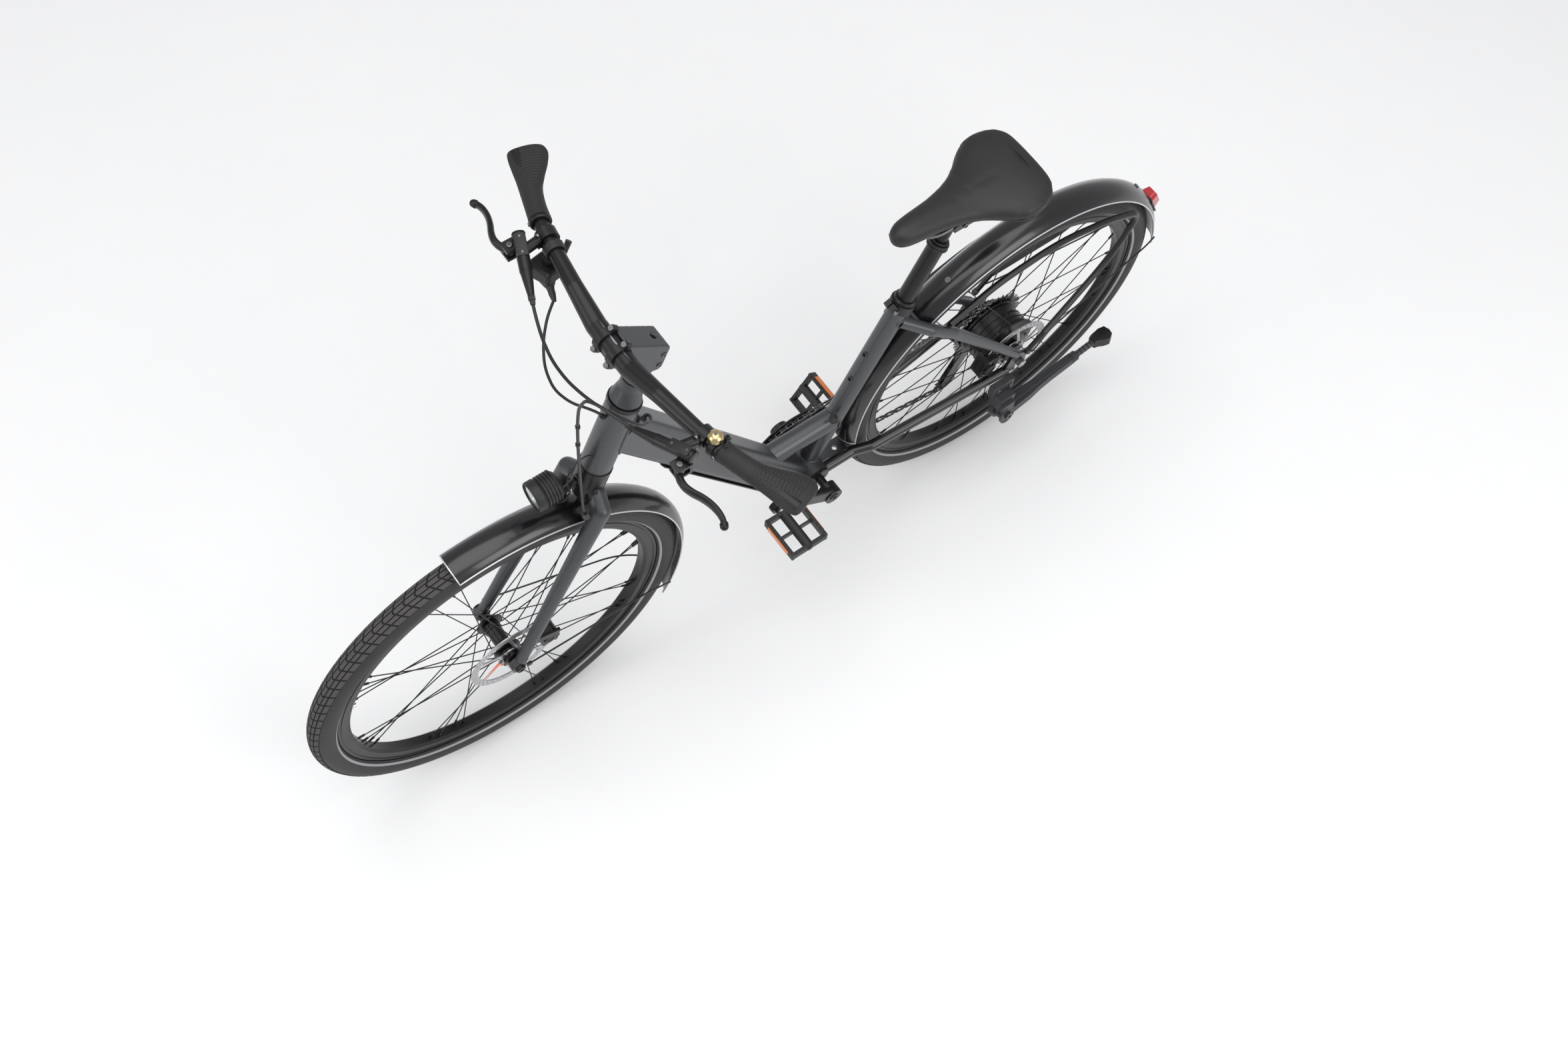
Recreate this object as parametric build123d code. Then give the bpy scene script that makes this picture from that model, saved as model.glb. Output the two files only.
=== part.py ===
from build123d import *
import os
from math import acos, atan2, cos, degrees, hypot, pi, radians, sin, tan

# A step-through electric city bicycle with 28 inch wheels, in millimetres.
# Its front points along +X, its left side along +Y, and its tyres stand on z = 0.
# Places are written as (forward of the rear axle, left, up) and put in the part's
# own frame by at(), whose origin is under the middle of the whole bicycle.

# ---- driving dimensions -------------------------------------------------
wheelbase = 1102.0
tyre_outer = 361.0          # 50-622 tyre
tyre_tube = 25.0            # half of the 50 mm tyre width
head_angle = 69.0           # steering axis, degrees from the ground
seat_angle = 68.0           # seat tube, degrees from the ground
fork_offset = 47.0          # front axle ahead of the steering axis
bracket_x, bracket_z = 443.0, 306.0      # bottom bracket centre
crank_length = 170.0
crank_angle = 38.0          # left crank, degrees above straight ahead
chain_y = -44.0             # chain line
link_gap = 3.1              # between a link's side plates
ring_teeth, cog_teeth, jockey_teeth = 42, 20, 11
chain_pitch = 12.7
spoke_count = 32
fender_crown = 375.0        # outer radius of both fenders at their middle
fender_edge = 358.0         # radius of their edges
rear_fender_back = 3.4      # the rear fender sits this far back from concentric
fender_half = 30.0          # half of their width
fender_wall = 2.0
rear_fender_from, rear_fender_to = -5.0, 172.0    # degrees round the rear axle
front_fender_from, front_fender_to = 81.0, 207.0
grip_tip_y = 347.0
seat_tube_r, seat_post_r = 18.0, 15.0
head_tube_r = 26.0
steerer_r = 14.25
bar_clamp_r, bar_grip_r = 15.9, 11.1
axle_r = 6.0
running = 0.05              # radial clearance of a shaft in its bearing
rotor_r = 80.0

axle_z = tyre_outer
rear_reach = fender_crown * cos(radians(180 - rear_fender_to)) + rear_fender_back
rear_x = -(wheelbase + tyre_outer - rear_reach) / 2
nodes = {}


def at(x, y, z):
    return Vector(x + rear_x, y, z)


def side_plane(x, z, y=0.0, tilt=0.0):
    """A plane facing left, with its first axis forward and tilted up by tilt degrees."""
    forward = Vector(cos(radians(tilt)), 0, sin(radians(tilt)))
    return Plane(origin=at(x, y, z), x_dir=forward, z_dir=(0, -1, 0))


def rod(start, end, radius, end_radius=None):
    line = end - start
    plane = Plane(origin=start, z_dir=line)
    if end_radius is None or abs(end_radius - radius) < 1e-6:
        return Solid.make_cylinder(radius, line.length, plane)
    return Solid.make_cone(radius, end_radius, line.length, plane)


def pipe(start, end, radius, bore):
    reach = (end - start).normalized()
    return rod(start, end, radius) - rod(start - reach, end + reach, bore)


def ball(centre, radius):
    return Pos(*centre) * Sphere(radius)


def cross_rod(x, z, y_from, y_to, radius):
    return rod(at(x, y_from, z), at(x, y_to, z), radius)


def joined_rods(points, radii):
    """Straight tapered runs from point to point, with a ball at each corner."""
    body = rod(points[0], points[1], radii[0], radii[1])
    for i in range(1, len(points) - 1):
        body += ball(points[i], radii[i])
        body += rod(points[i], points[i + 1], radii[i], radii[i + 1])
    return body


def corner_radii(points, share=0.45):
    radii = []
    for before, corner, after in zip(points, points[1:], points[2:]):
        first, second = corner - before, after - corner
        half_turn = radians(first.get_angle(second)) / 2
        radii.append(share * min(first.length, second.length) / tan(half_turn))
    return radii


def bent_tube(points, radius, radii=None, bore=0.0):
    radii = radii or corner_radii(points)
    path = FilletPolyline(*points, radius=radii)
    start = Plane(origin=path @ 0, z_dir=path % 0)
    section = start * Circle(radius)
    if bore:
        section -= start * Circle(bore)
    return sweep(section, path=path), path


def hose(name, points, radius):
    tube, path = bent_tube(points, radius)
    radii = corner_radii(points)
    expected = pi * radius**2 * path.length
    print(f"{name}: length {path.length:.0f} mm, tightest arc {min(radii):.0f} mm,",
          f"volume over section times length {tube.volume / expected:.4f}")
    nodes[name] = tube


def group(parts):
    solids = []
    for part in parts:
        solids += list(part.solids())
    return Compound(children=solids)


def ring_profile(points):
    """A closed outline of (radius, along axis) points, as a face to turn round Z."""
    return make_face(Plane.XZ * Polyline(*points, close=True))


def turned(points):
    return revolve(ring_profile(points), axis=Axis.Z)


# Wheels are made lying down, with their axle along Z and the bicycle's left up.
def on_axle(x):
    return Pos(*at(x, 0, axle_z)) * Rot(-90, 0, 0)


# ---- steering frame: u forward of the steering axis, v left, s up along it ----
steer_up = Vector(-cos(radians(head_angle)), 0, sin(radians(head_angle)))
steer_ahead = Vector(sin(radians(head_angle)), 0, cos(radians(head_angle)))
steer_origin = at(wheelbase, 0, axle_z) - steer_ahead * fork_offset
steer_frame = Plane(origin=steer_origin, x_dir=steer_ahead, z_dir=steer_up)


def on_fork(u, v, s):
    return steer_frame.from_local_coords(Vector(u, v, s))


def on_axis(parts_low, parts_high, radius, end_radius=None):
    return rod(on_fork(0, 0, parts_low), on_fork(0, 0, parts_high), radius, end_radius)


crown_s = 400.0             # underside of the fork crown
head_low_s, head_high_s = 468.0, 615.0
stem_low_s, stem_high_s = 702.0, 752.0

# ---- seat tube line ----
seat_up = Vector(-cos(radians(seat_angle)), 0, sin(radians(seat_angle)))
bracket = at(bracket_x, 0, bracket_z)


def on_seat_line(distance):
    return bracket + seat_up * distance


seat_tube_top = 440.0       # along the seat line from the bottom bracket
post_collar = 567.0
post_head = 632.0


# ======================================================================
# Frame
# ======================================================================
def frame_tubes():
    bracket_shell_r, bracket_bore_r = 24.0, 20.5
    shell = rod(at(bracket_x, -36.5, bracket_z), at(bracket_x, 36.5, bracket_z), bracket_shell_r)
    shell_bore = rod(at(bracket_x, -40, bracket_z), at(bracket_x, 40, bracket_z), bracket_bore_r)
    # plate behind the shell that a centre stand would bolt to
    plate = Pos(*at(bracket_x - 62, 0, bracket_z - 18)) * Box(52, 34, 8)
    web = Pos(*at(bracket_x - 30, 0, bracket_z - 12)) * Box(30, 30, 18)
    plate_hole = rod(at(bracket_x - 68, 0, bracket_z - 40), at(bracket_x - 68, 0, bracket_z + 10), 5.25)
    nodes["bottom_bracket_shell"] = shell + web + plate - shell_bore - plate_hole

    nodes["head_tube"] = (on_axis(head_low_s, head_high_s, head_tube_r)
                          - on_axis(head_low_s - 1, head_high_s + 1, 22.5))

    # down tube: a deep rounded box that holds the battery
    dt_low, dt_high = at(486, 0, 306), at(851, 0, 859)
    line = dt_high - dt_low
    section_plane = Plane(origin=dt_low, x_dir=(0, 1, 0), z_dir=line)
    outer = extrude(section_plane * RectangleRounded(50, 74, 14), amount=line.length)
    inner_plane = Plane(origin=dt_low + line.normalized() * 20, x_dir=(0, 1, 0), z_dir=line)
    inner = extrude(inner_plane * RectangleRounded(44, 68, 11), amount=line.length - 62)
    tube = outer - inner
    tube -= rod(at(bracket_x, -45, bracket_z), at(bracket_x, 45, bracket_z), bracket_shell_r)
    tube -= on_axis(head_low_s - 30, head_high_s + 30, head_tube_r)
    port = rod(at(810.5, 20.5, 876), at(802, 12, 842), 4.2)
    nodes["down_tube"] = (tube - port).solids().sort_by(SortBy.VOLUME)[-1]

    battery_plane = Plane(origin=dt_low + line.normalized() * 60, x_dir=(0, 1, 0), z_dir=line)
    nodes["battery_pack"] = extrude(battery_plane * RectangleRounded(40, 62, 9), amount=420)

    seat = pipe(on_seat_line(20), on_seat_line(seat_tube_top), seat_tube_r, seat_post_r + 0.3)
    seat -= rod(at(bracket_x, -45, bracket_z), at(bracket_x, 45, bracket_z), bracket_shell_r)
    seat -= outer
    slot = Pos(*(on_seat_line(seat_tube_top - 12) + Vector(-18, 0, -7))) * Box(24, 2.5, 34)
    for distance in bottle_screws:
        seat -= rod(on_seat_line(distance), on_seat_line(distance) + bottle_normal * 30, 3.7)
    nodes["seat_tube"] = (seat - slot).solids().sort_by(SortBy.VOLUME)[-1]

    brace = pipe(at(400, 0, 428), at(545, 0, 428), 20.0, 17.5)
    brace -= rod(on_seat_line(0), on_seat_line(seat_tube_top), seat_tube_r)
    brace -= outer
    nodes["brace_tube"] = brace.solids().sort_by(SortBy.VOLUME)[-1]


bottle_screws = (243.0, 307.0)                   # distances along the seat line
bottle_normal = Vector(sin(radians(seat_angle)), 0, cos(radians(seat_angle)))


def seat_stay_points(side):
    return [at(288, side * 12, 670), at(240, side * 43, 641), at(188, side * 50, 596), at(12, side * 70,
                                                                                          392)]


def chain_stay_points(side):
    return [at(425, side * 27, 300), at(357, side * 30, 306), at(322, side * 43, 311), at(24, side * 70,
                                                                                          345)]


def rear_triangle():
    for side, name in ((1, "left"), (-1, "right")):
        inner_r = 9.0
        stay = joined_rods(seat_stay_points(side), [11.0, 11.0, 11.0, inner_r])
        stay -= rod(on_seat_line(0), on_seat_line(seat_tube_top), seat_tube_r)
        nodes["seat_stay_" + name] = stay.solids().sort_by(SortBy.VOLUME)[-1]

        lower = joined_rods(chain_stay_points(side), [10.5, 10.0, 10.0, 9.5])
        lower -= rod(at(bracket_x, -45, bracket_z), at(bracket_x, 45, bracket_z), 24.0)
        # dropout plate with an axle slot that opens downwards
        plate_plane = side_plane(0, axle_z, side * 70)
        plate = extrude(plate_plane * Polygon((-17, -14), (-14, 18), (4, 30), (24, 26), (34, -4),
                                              (26, -24), (-4, -26), align=None), amount=3.5, both=True)
        slot_cut = extrude(plate_plane * (Circle(axle_r + 0.05) + Pos(0, -20) * Rectangle(12.1, 40)),
                           amount=6, both=True)
        lower = lower + plate - slot_cut
        lower -= joined_rods(seat_stay_points(side)[2:], [11.1, inner_r + 0.1])
        if side < 0:
            hanger = extrude(side_plane(0, axle_z, side * 70) * Polygon((-6, -24), (14, -24), (24, -52),
                                                                       (6, -56), align=None),
                             amount=3.0, both=True)
            lower += hanger
            lower -= cross_rod(13, axle_z - 46, side * 60, side * 80, 5.1)
            lower -= slot_cut
        nodes["chain_stay_" + name] = lower.solids().sort_by(SortBy.VOLUME)[-1]

    bridge = rod(at(255, -33, 650), at(255, 33, 650), 6.0)
    for side in (1, -1):
        bridge -= joined_rods(seat_stay_points(side), [11.02, 11.02, 11.02, 9.0])
    nodes["stay_bridge"] = bridge.solids().sort_by(SortBy.VOLUME)[-1]


def seat_clamp():
    low, high = on_seat_line(seat_tube_top - 19), on_seat_line(seat_tube_top - 1)
    collar = pipe(low, high, seat_tube_r + 4.5, seat_tube_r)
    middle = (low + high) * 0.5
    ears = Pos(*(middle + bottle_normal * 26)) * Rot(0, 90 - seat_angle, 0) * Box(12, 22, 17)
    ears -= rod(low - seat_up, high + seat_up, seat_tube_r + 1)
    split = Pos(*(middle + bottle_normal * 28)) * Rot(0, 90 - seat_angle, 0) * Box(22, 3, 30)
    hole = rod(middle + bottle_normal * 27 + Vector(0, -20, 0), middle + bottle_normal * 27 + Vector(0,
        20, 0), 2.6)
    nodes["seat_clamp"] = collar + ears - split - hole
    bolt_mid = middle + bottle_normal * 27
    shank = rod(bolt_mid + Vector(0, -13, 0), bolt_mid + Vector(0, 11, 0), 2.5)
    head = rod(bolt_mid + Vector(0, 11, 0), bolt_mid + Vector(0, 16, 0), 4.3)
    return shank + head


def fender_section():
    """Cross-section of a fender: an arc of wall thickness, as (radius, half width)."""
    drop = fender_crown - fender_edge
    arc_r = (fender_half**2 + drop**2) / (2 * drop)
    half_sweep = degrees(atan2(fender_half, arc_r - drop))
    centre = fender_crown - arc_r
    outer = CenterArc((centre, 0), arc_r, -half_sweep, 2 * half_sweep)
    inner = CenterArc((centre, 0), arc_r - fender_wall, -half_sweep, 2 * half_sweep)
    return Plane.XZ * make_face([outer, Line(outer @ 1, inner @ 1), inner, Line(inner @ 0, outer @ 0)])


def fender_ball(x):
    """The ring that the outside of a fender lies on."""
    drop = fender_crown - fender_edge
    arc_r = (fender_half**2 + drop**2) / (2 * drop)
    return Pos(*at(x, 0, axle_z)) * Rot(90, 0, 0) * Torus(fender_crown - arc_r, arc_r + 0.05)


def fender(x, start, end):
    """A fender round the axle at x, from one angle to another above straight ahead."""
    band = revolve(fender_section(), axis=Axis.Z, revolution_arc=end - start)
    return Pos(*at(x, 0, axle_z)) * Rot(90, 0, 0) * Rot(0, 0, start) * band


def round_axle(x, radius, angle, y=0.0):
    """A place at the given radius and angle round the middle of a fender."""
    return at(x + radius * cos(radians(angle)), y, axle_z + radius * sin(radians(angle)))


def rear_guard_set():
    guard = fender(-rear_fender_back, rear_fender_from, rear_fender_to)
    screws = []
    for angle in (137.0, 61.0):
        where = round_axle(-rear_fender_back, fender_crown - 4, angle)
        out = round_axle(0, 1, angle) - at(0, 0, axle_z)
        screws.append(rod(where + out * 4.1, where + out * 6.4, 5.0) - rod(where + out * 5.2,
                                                                           where + out * 7, 2.2))
    nodes["rear_fender"] = guard

    stays, rails = [], []
    for side in (1, -1):
        start = round_axle(-rear_fender_back, fender_edge + 3, 168.5, side * 32.2)
        wire, _ = bent_tube([start, at(-330, side * 38, 430), at(-70, side * 70, 410), at(-26,
            side * 82, 398)], 1.6)
        stays.append(wire + rod(at(-26, side * 82, 398), at(-13, side * 84.5, 396), 1.8))

    for side in (1, -1):
        rail, _ = bent_tube([at(196, side * 45, 624), at(96, side * 43, 664), at(-40, side * 43, 680),
                             at(-166, side * 43, 648), at(-252, side * 43, 606), at(-206, side * 48, 506),
                             at(-40, side * 78, 432)], 6.0, [260, 300, 320, 24, 150])
        foot = rod(at(-40, side * 78, 432), at(-12, side * 78, 400), 5.0)
        eye = rod(at(-8, side * 74.2, 396), at(-8, side * 81.8, 396), 7.0)
        tab = rod(at(196, side * 45, 624), at(200, side * 47, 606), 5.0)
        loop = rail + ball(at(-40, side * 78, 432), 5.6) + foot + eye + tab
        loop -= joined_rods(seat_stay_points(side), [11.05, 11.05, 11.05, 9.05])
        rails.append(loop.solids().sort_by(SortBy.VOLUME)[-1])
    nodes["rear_carrier"] = group(rails + [stays[0] - rails[0], stays[1] - rails[1]])

    lamp_plane = Plane(origin=round_axle(-rear_fender_back, fender_crown - 8, 152), x_dir=(0, 1, 0),
                       z_dir=round_axle(0, 1, 152) - at(0, 0, axle_z))
    lamp = loft([lamp_plane * RectangleRounded(34, 52, 8), lamp_plane.offset(22) * RectangleRounded(24,
                                                                                                    40, 7)])
    nodes["rear_light"] = lamp - fender_ball(-rear_fender_back)
    return screws


def kickstand():
    pivot = at(40, 98, 250)
    axis = Vector(-0.094, 1, 0.2).normalized()
    clamp = Pos(*at(44, 84, 322)) * Box(52, 13, 34)
    clamp -= joined_rods(chain_stay_points(1), [10.55, 10.05, 10.05, 9.55])
    housing = rod(pivot - axis * 15, pivot - axis * 3, 20)
    cheek = rod(pivot + axis * 15.5, pivot + axis * 19.5, 20)
    spine = Pos(*at(40, 92, 288)) * Box(34, 30, 40)
    bridge = Pos(*at(40, 105, 279)) * Box(30, 18, 22)
    leg_room = rod(pivot - axis * 2.95, pivot + axis * 15.45, 24)
    body = clamp + spine + housing + cheek + bridge - leg_room
    body -= rod(pivot - axis * 30, pivot + axis * 30, 5.0)
    nodes["kickstand_bracket"] = body.solids().sort_by(SortBy.VOLUME)[-1]

    aft = at(-262, 112, 246) - pivot
    reach = (aft - axis * aft.dot(axis)).normalized()
    middle = pivot + axis * 4.0
    hub = rod(pivot - axis * 2.6, pivot + axis * 15.1, 15)
    pin = rod(pivot - axis * 16, pivot + axis * 21, 4.95) + rod(pivot + axis * 19.8, pivot + axis * 22.4, 8)
    upper = rod(middle + reach * 8, middle + reach * 200, 10.0, 9.0)
    lower = rod(middle + reach * 200, middle + reach * 276, 6.5)
    tip = middle + reach * 292
    foot = rod(middle + reach * 262, tip, 9.5) + ball(tip, 9.5)
    leg = hub + upper - rod(pivot - axis * 20, pivot - axis * 2.7, 30)
    nodes["kickstand_leg"] = group([leg + pin + lower, foot - lower])


# ======================================================================
# Drivetrain
# ======================================================================
def toothed_disc(teeth, thickness, bore, holes=0, hole_r=0.0, hole_ring=0.0):
    """A sprocket lying on Z = 0 with its teeth round its pitch circle."""
    pitch_r = chain_pitch / (2 * sin(pi / teeth))
    tip, root = pitch_r + 2.6, pitch_r - 4.4
    points = []
    for tooth in range(teeth):
        for share, radius in ((0.0, root), (0.22, root), (0.42, tip), (0.58, tip), (0.80, root)):
            turn = 2 * pi * (tooth + share) / teeth
            points.append((radius * cos(turn), radius * sin(turn)))
    disc = extrude(make_face(Polyline(*points, close=True)), amount=thickness / 2, both=True)
    disc -= Cylinder(bore, thickness * 4)
    for i in range(holes):
        turn = 2 * pi * i / holes
        disc -= Pos(hole_ring * cos(turn), hole_ring * sin(turn), 0) * Cylinder(hole_r, thickness * 4)
    return disc


def facing_left(x, y, z, tilt=0.0):
    return Pos(*at(x, y, z)) * Rot(-90, 0, 0) * Rot(0, 0, -tilt)


guide_place = (14.0, 266.0)         # upper jockey wheel
tension_place = (52.0, 168.0)       # lower jockey wheel
cog_step = 4.6


def cassette_and_cogs():
    # cogs from the small outer one at the right to the large inner one
    teeth = (11, 13, 15, 17, 20, 24, 28, 32, 38)
    outer_y = chain_y - cog_step * 4
    parts = []
    for i, count in enumerate(teeth):
        cog = toothed_disc(count, 2.0, 16.0 if count > 13 else 14.0, 6 if count > 24 else 0, 8.0,
                           chain_pitch * count / (2 * pi) - 15)
        parts.append(facing_left(0, outer_y + cog_step * i, axle_z) * cog)
    spacers = []
    for i in range(len(teeth) - 1):
        low = outer_y + cog_step * i + 1.0
        spacers.append(rod(at(0, low, axle_z), at(0, low + cog_step - 2, axle_z), 17.5)
                       - rod(at(0, low - 1, axle_z), at(0, low + cog_step, axle_z), 14.0))
    body = parts[0]
    for piece in spacers + parts[1:]:
        body += piece
    lock_ring = (rod(at(0, outer_y - 3.5, axle_z), at(0, outer_y - 1, axle_z), 15.5)
                 - rod(at(0, outer_y - 5, axle_z), at(0, outer_y, axle_z), 11.0))
    body += lock_ring
    body -= rod(at(0, -80, axle_z), at(0, 0, axle_z), 14.05)
    body += (rod(at(0, outer_y - 3.5, axle_z), at(0, chain_y + cog_step * 4 + 1.0, axle_z), 14.06)
             - rod(at(0, -80, axle_z), at(0, 0, axle_z), axle_r + 0.25))
    nodes["cassette"] = body


def belt(pulleys, inward, outward, y_low, y_high):
    """The band round a chain path, between two offsets from its centre line."""
    def outline(offset):
        edges = []
        count = len(pulleys)
        joints = []
        for i in range(count):
            (x1, z1, r1, s1), (x2, z2, r2, s2) = pulleys[i], pulleys[(i + 1) % count]
            run_1, run_2 = s1 * (r1 + s1 * offset), s2 * (r2 + s2 * offset)
            dx, dz = x2 - x1, z2 - z1
            gap = hypot(dx, dz)
            heading = atan2(dz, dx)
            lean = acos((run_1 - run_2) / gap)
            normal = heading + lean
            joints.append(((x1 + run_1 * cos(normal), z1 + run_1 * sin(normal)),
                           (x2 + run_2 * cos(normal), z2 + run_2 * sin(normal))))
        for i in range(count):
            edges.append(Line(*joints[i]))
            x, z, _, s = pulleys[(i + 1) % count]
            start, end = joints[i][1], joints[(i + 1) % count][0]
            a1, a2 = atan2(start[1] - z, start[0] - x), atan2(end[1] - z, end[0] - x)
            turn = (a2 - a1) % (2 * pi) if s < 0 else (a1 - a2) % (2 * pi)
            middle = a1 + turn / 2 if s < 0 else a1 - turn / 2
            radius = hypot(start[0] - x, start[1] - z)
            edges.append(ThreePointArc(start, (x + radius * cos(middle), z + radius * sin(middle)), end))
        return make_face(edges)

    plane = Plane(origin=at(0, y_low, 0), x_dir=(1, 0, 0), z_dir=(0, -1, 0))
    face = outline(outward) - outline(-inward)
    return extrude(plane * face, amount=-(y_high - y_low))


def chain_path():
    """Wheels the chain goes round, as (x, z, radius, side); side is 1 where it turns clockwise."""
    def pitch_radius(teeth):
        return chain_pitch / (2 * sin(pi / teeth))
    return [(0.0, axle_z, pitch_radius(cog_teeth), 1),
            (bracket_x, bracket_z, pitch_radius(ring_teeth), 1),
            (tension_place[0], tension_place[1], pitch_radius(jockey_teeth), 1),
            (guide_place[0], guide_place[1], pitch_radius(jockey_teeth), -1)]


def drivetrain():
    cassette_and_cogs()
    half = link_gap / 2
    plates = [belt(chain_path(), 4.0, 4.0, chain_y - half - 1.1, chain_y - half),
              belt(chain_path(), 4.0, 4.0, chain_y + half, chain_y + half + 1.1)]
    # pins of the two straight outer runs hold the side plates together
    pins = []
    top_left, top_right = (0.0, axle_z + 40.6), (bracket_x, bracket_z + 85.0)
    for i in range(1, 30):
        share = i / 30
        x = top_left[0] + (top_right[0] - top_left[0]) * share
        z = top_left[1] + (top_right[1] - top_left[1]) * share
        if share * 443 > 40 and share * 443 < 380:
            pins.append(cross_rod(x, z - 0.4, chain_y - half - 0.05, chain_y + half + 0.05, 1.8))
    band = plates[0] + plates[1]
    for pin in pins:
        band += pin
    nodes["chain"] = band

    # crank set
    spindle = cross_rod(bracket_x, bracket_z, -62, 72, 8.5)
    spider_r = 17.9
    cups = []
    for side in (1, -1):
        cup = (cross_rod(bracket_x, bracket_z, side * 22, side * 36.5, 20.4)
               + cross_rod(bracket_x, bracket_z, side * 36.5, side * 40.5, 22.5))
        cups.append(cup - cross_rod(bracket_x, bracket_z, -90, 90, 8.5 + running))
    bearings.extend(cups)

    ring = facing_left(bracket_x, chain_y, bracket_z) * toothed_disc(ring_teeth, 2.2, 18.0, 5, 15.0, 52.0)
    guard_out = 96.0
    guard = Cylinder(guard_out, 2.4) - Cylinder(67.0, 10)
    guard_arms = Cylinder(70.0, 2.4) - Cylinder(18.0, 10)
    for i in range(5):
        turn = radians(72 * i)
        guard_arms -= Pos(46 * cos(turn), 46 * sin(turn), 0) * Cylinder(15.5, 10)
    plate = facing_left(bracket_x, chain_y - 5.2, bracket_z) * (guard + guard_arms)
    nodes["chainring"] = group([ring, plate])

    for side, name in ((1, "left"), (-1, "right")):
        turn = radians(crank_angle) if side > 0 else radians(crank_angle + 180)
        hub = at(bracket_x, 0, bracket_z)
        far = at(bracket_x + crank_length * cos(turn), 0, bracket_z + crank_length * sin(turn))
        arm_y = side * 82.0
        base = cross_rod(bracket_x, bracket_z, side * 62 if side > 0 else side * 51.0, side * 88, 18)
        if side < 0:
            base += cross_rod(bracket_x, bracket_z, -41.2, -51.0, spider_r)
        arm = loft([Plane(origin=hub + Vector(0, arm_y - side * 3, 0), x_dir=(0, 1, 0), z_dir=far - hub)
                    * RectangleRounded(13, 32, 4),
                    Plane(origin=far + Vector(0, arm_y, 0), x_dir=(0, 1, 0), z_dir=far - hub)
                    * RectangleRounded(12, 22, 4)])
        eye = rod(far + Vector(0, arm_y - side * 6, 0), far + Vector(0, arm_y + side * 6, 0), 14)
        crank = base + arm + eye - spindle
        thread = rod(far + Vector(0, side * 60, 0), far + Vector(0, side * 100, 0), 7.0)
        crank = (crank - thread).solids().sort_by(SortBy.VOLUME)[-1]
        axle = (rod(far + Vector(0, side * 75, 0), far + Vector(0, side * 88, 0), 7.0)
                + rod(far + Vector(0, side * 88, 0), far + Vector(0, side * 94, 0), 9.0)
                + rod(far + Vector(0, side * 94, 0), far + Vector(0, side * 182, 0), 4.5))
        nodes["crank_" + name] = group([crank, axle] + ([spindle] if side < 0 else []))
        pedal(far, side, name, 0.0 if side > 0 else 55.0)


def pedal(far, side, name, tilt):
    """A cage pedal: a barrel on the axle, two long bars and two end plates."""
    length, depth, height = 84.0, 78.0, 22.0
    middle_y = side * (96 + length / 2)
    blank = Box(depth, length, height)
    for x in (-1, 1):
        blank -= Pos(x * 25, 0, 0) * Box(20, length - 22, 40)
    blank = blank + Rot(90, 0, 0) * Cylinder(12.5, length)
    blank -= Rot(90, 0, 0) * Cylinder(4.5 + running, length * 2)
    for z in (-1, 1):
        blank -= Pos(0, 0, z * 15) * Box(14, length - 26, 5)
    place = Pos(*(far + Vector(0, middle_y, 0))) * Rot(0, tilt, 0)
    lenses = []
    for x in (-1, 1):
        lenses.append(place * Pos(x * (depth / 2 + 1.75), 0, 0) * Box(3.5, 52, 12))
    nodes["pedal_" + name] = group([place * blank] + lenses)


def derailleur():
    cage_y = chain_y
    guide, tension = guide_place, tension_place
    mount_x, mount_z = 13.0, axle_z - 46
    bolt = cross_rod(mount_x, mount_z, -82, -66.5, 5.0) + cross_rod(mount_x, mount_z, -86, -82, 9.0)
    knuckle = cross_rod(mount_x, mount_z, -84, -74, 13) - cross_rod(mount_x, mount_z, -90, -60, 5.05)
    arm = joined_rods([at(mount_x + 14, -79, mount_z - 8), at(mount_x + 22, -72, mount_z - 30),
                       at(guide[0] + 6, -66, guide[1] - 2)], [6.5, 7.5, 7.5])
    carrier = cross_rod(guide[0], guide[1], -72, -58, 13) - cross_rod(guide[0], guide[1], -80, -50, 5.0)
    body = knuckle + arm + carrier
    body -= cross_rod(mount_x, mount_z, -90, -60, 5.05)
    body -= cross_rod(guide[0], guide[1], -80, -50, 5.0)
    nodes["derailleur_body"] = body + bolt
    # cage turns round the carrier's pin, which is on the upper jockey wheel's axis
    plates = []
    for y in (cage_y - 6.0, cage_y + 4.5):
        span = Vector(tension[0] - guide[0], tension[1] - guide[1], 0)
        plane = side_plane((guide[0] + tension[0]) / 2, (guide[1] + tension[1]) / 2, y,
                           degrees(atan2(span.Y, span.X)))
        plates.append(extrude(plane * SlotCenterToCenter(span.length, 22), amount=-1.5))
    pin = cross_rod(guide[0], guide[1], -70, cage_y - 5.5, 4.95)
    cage = plates[0] + plates[1] + pin
    for x, z in (guide, tension):
        cage += cross_rod(x, z, cage_y - 6.0, cage_y + 6.0, 2.5)
    nodes["derailleur_cage"] = cage
    for (x, z), label in ((guide, "guide"), (tension, "tension")):
        wheel = toothed_disc(jockey_teeth, 2.0, 2.5 + running, 0)
        boss = Cylinder(7.0, 5.0) - Cylinder(2.5 + running, 10)
        nodes["jockey_wheel_" + label] = facing_left(x, cage_y, z) * (wheel + boss)


# ======================================================================
# Wheels
# ======================================================================
def tyre_ring():
    centre_r = tyre_outer - tyre_tube
    section = Plane.XZ * (Pos(centre_r, 0) * Circle(tyre_tube) - Pos(centre_r, 0) * Circle(21.0)
                          - Pos(centre_r - 40.7, 0) * Rectangle(40, 80))
    return revolve(section, axis=Axis.Z)


def rim_ring():
    return turned([(290, -8), (290, 8), (296, 12), (315, 13), (315, 10.5), (305, 10.5),
                   (305, -10.5), (315, -10.5), (315, -13), (296, -12)])


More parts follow.
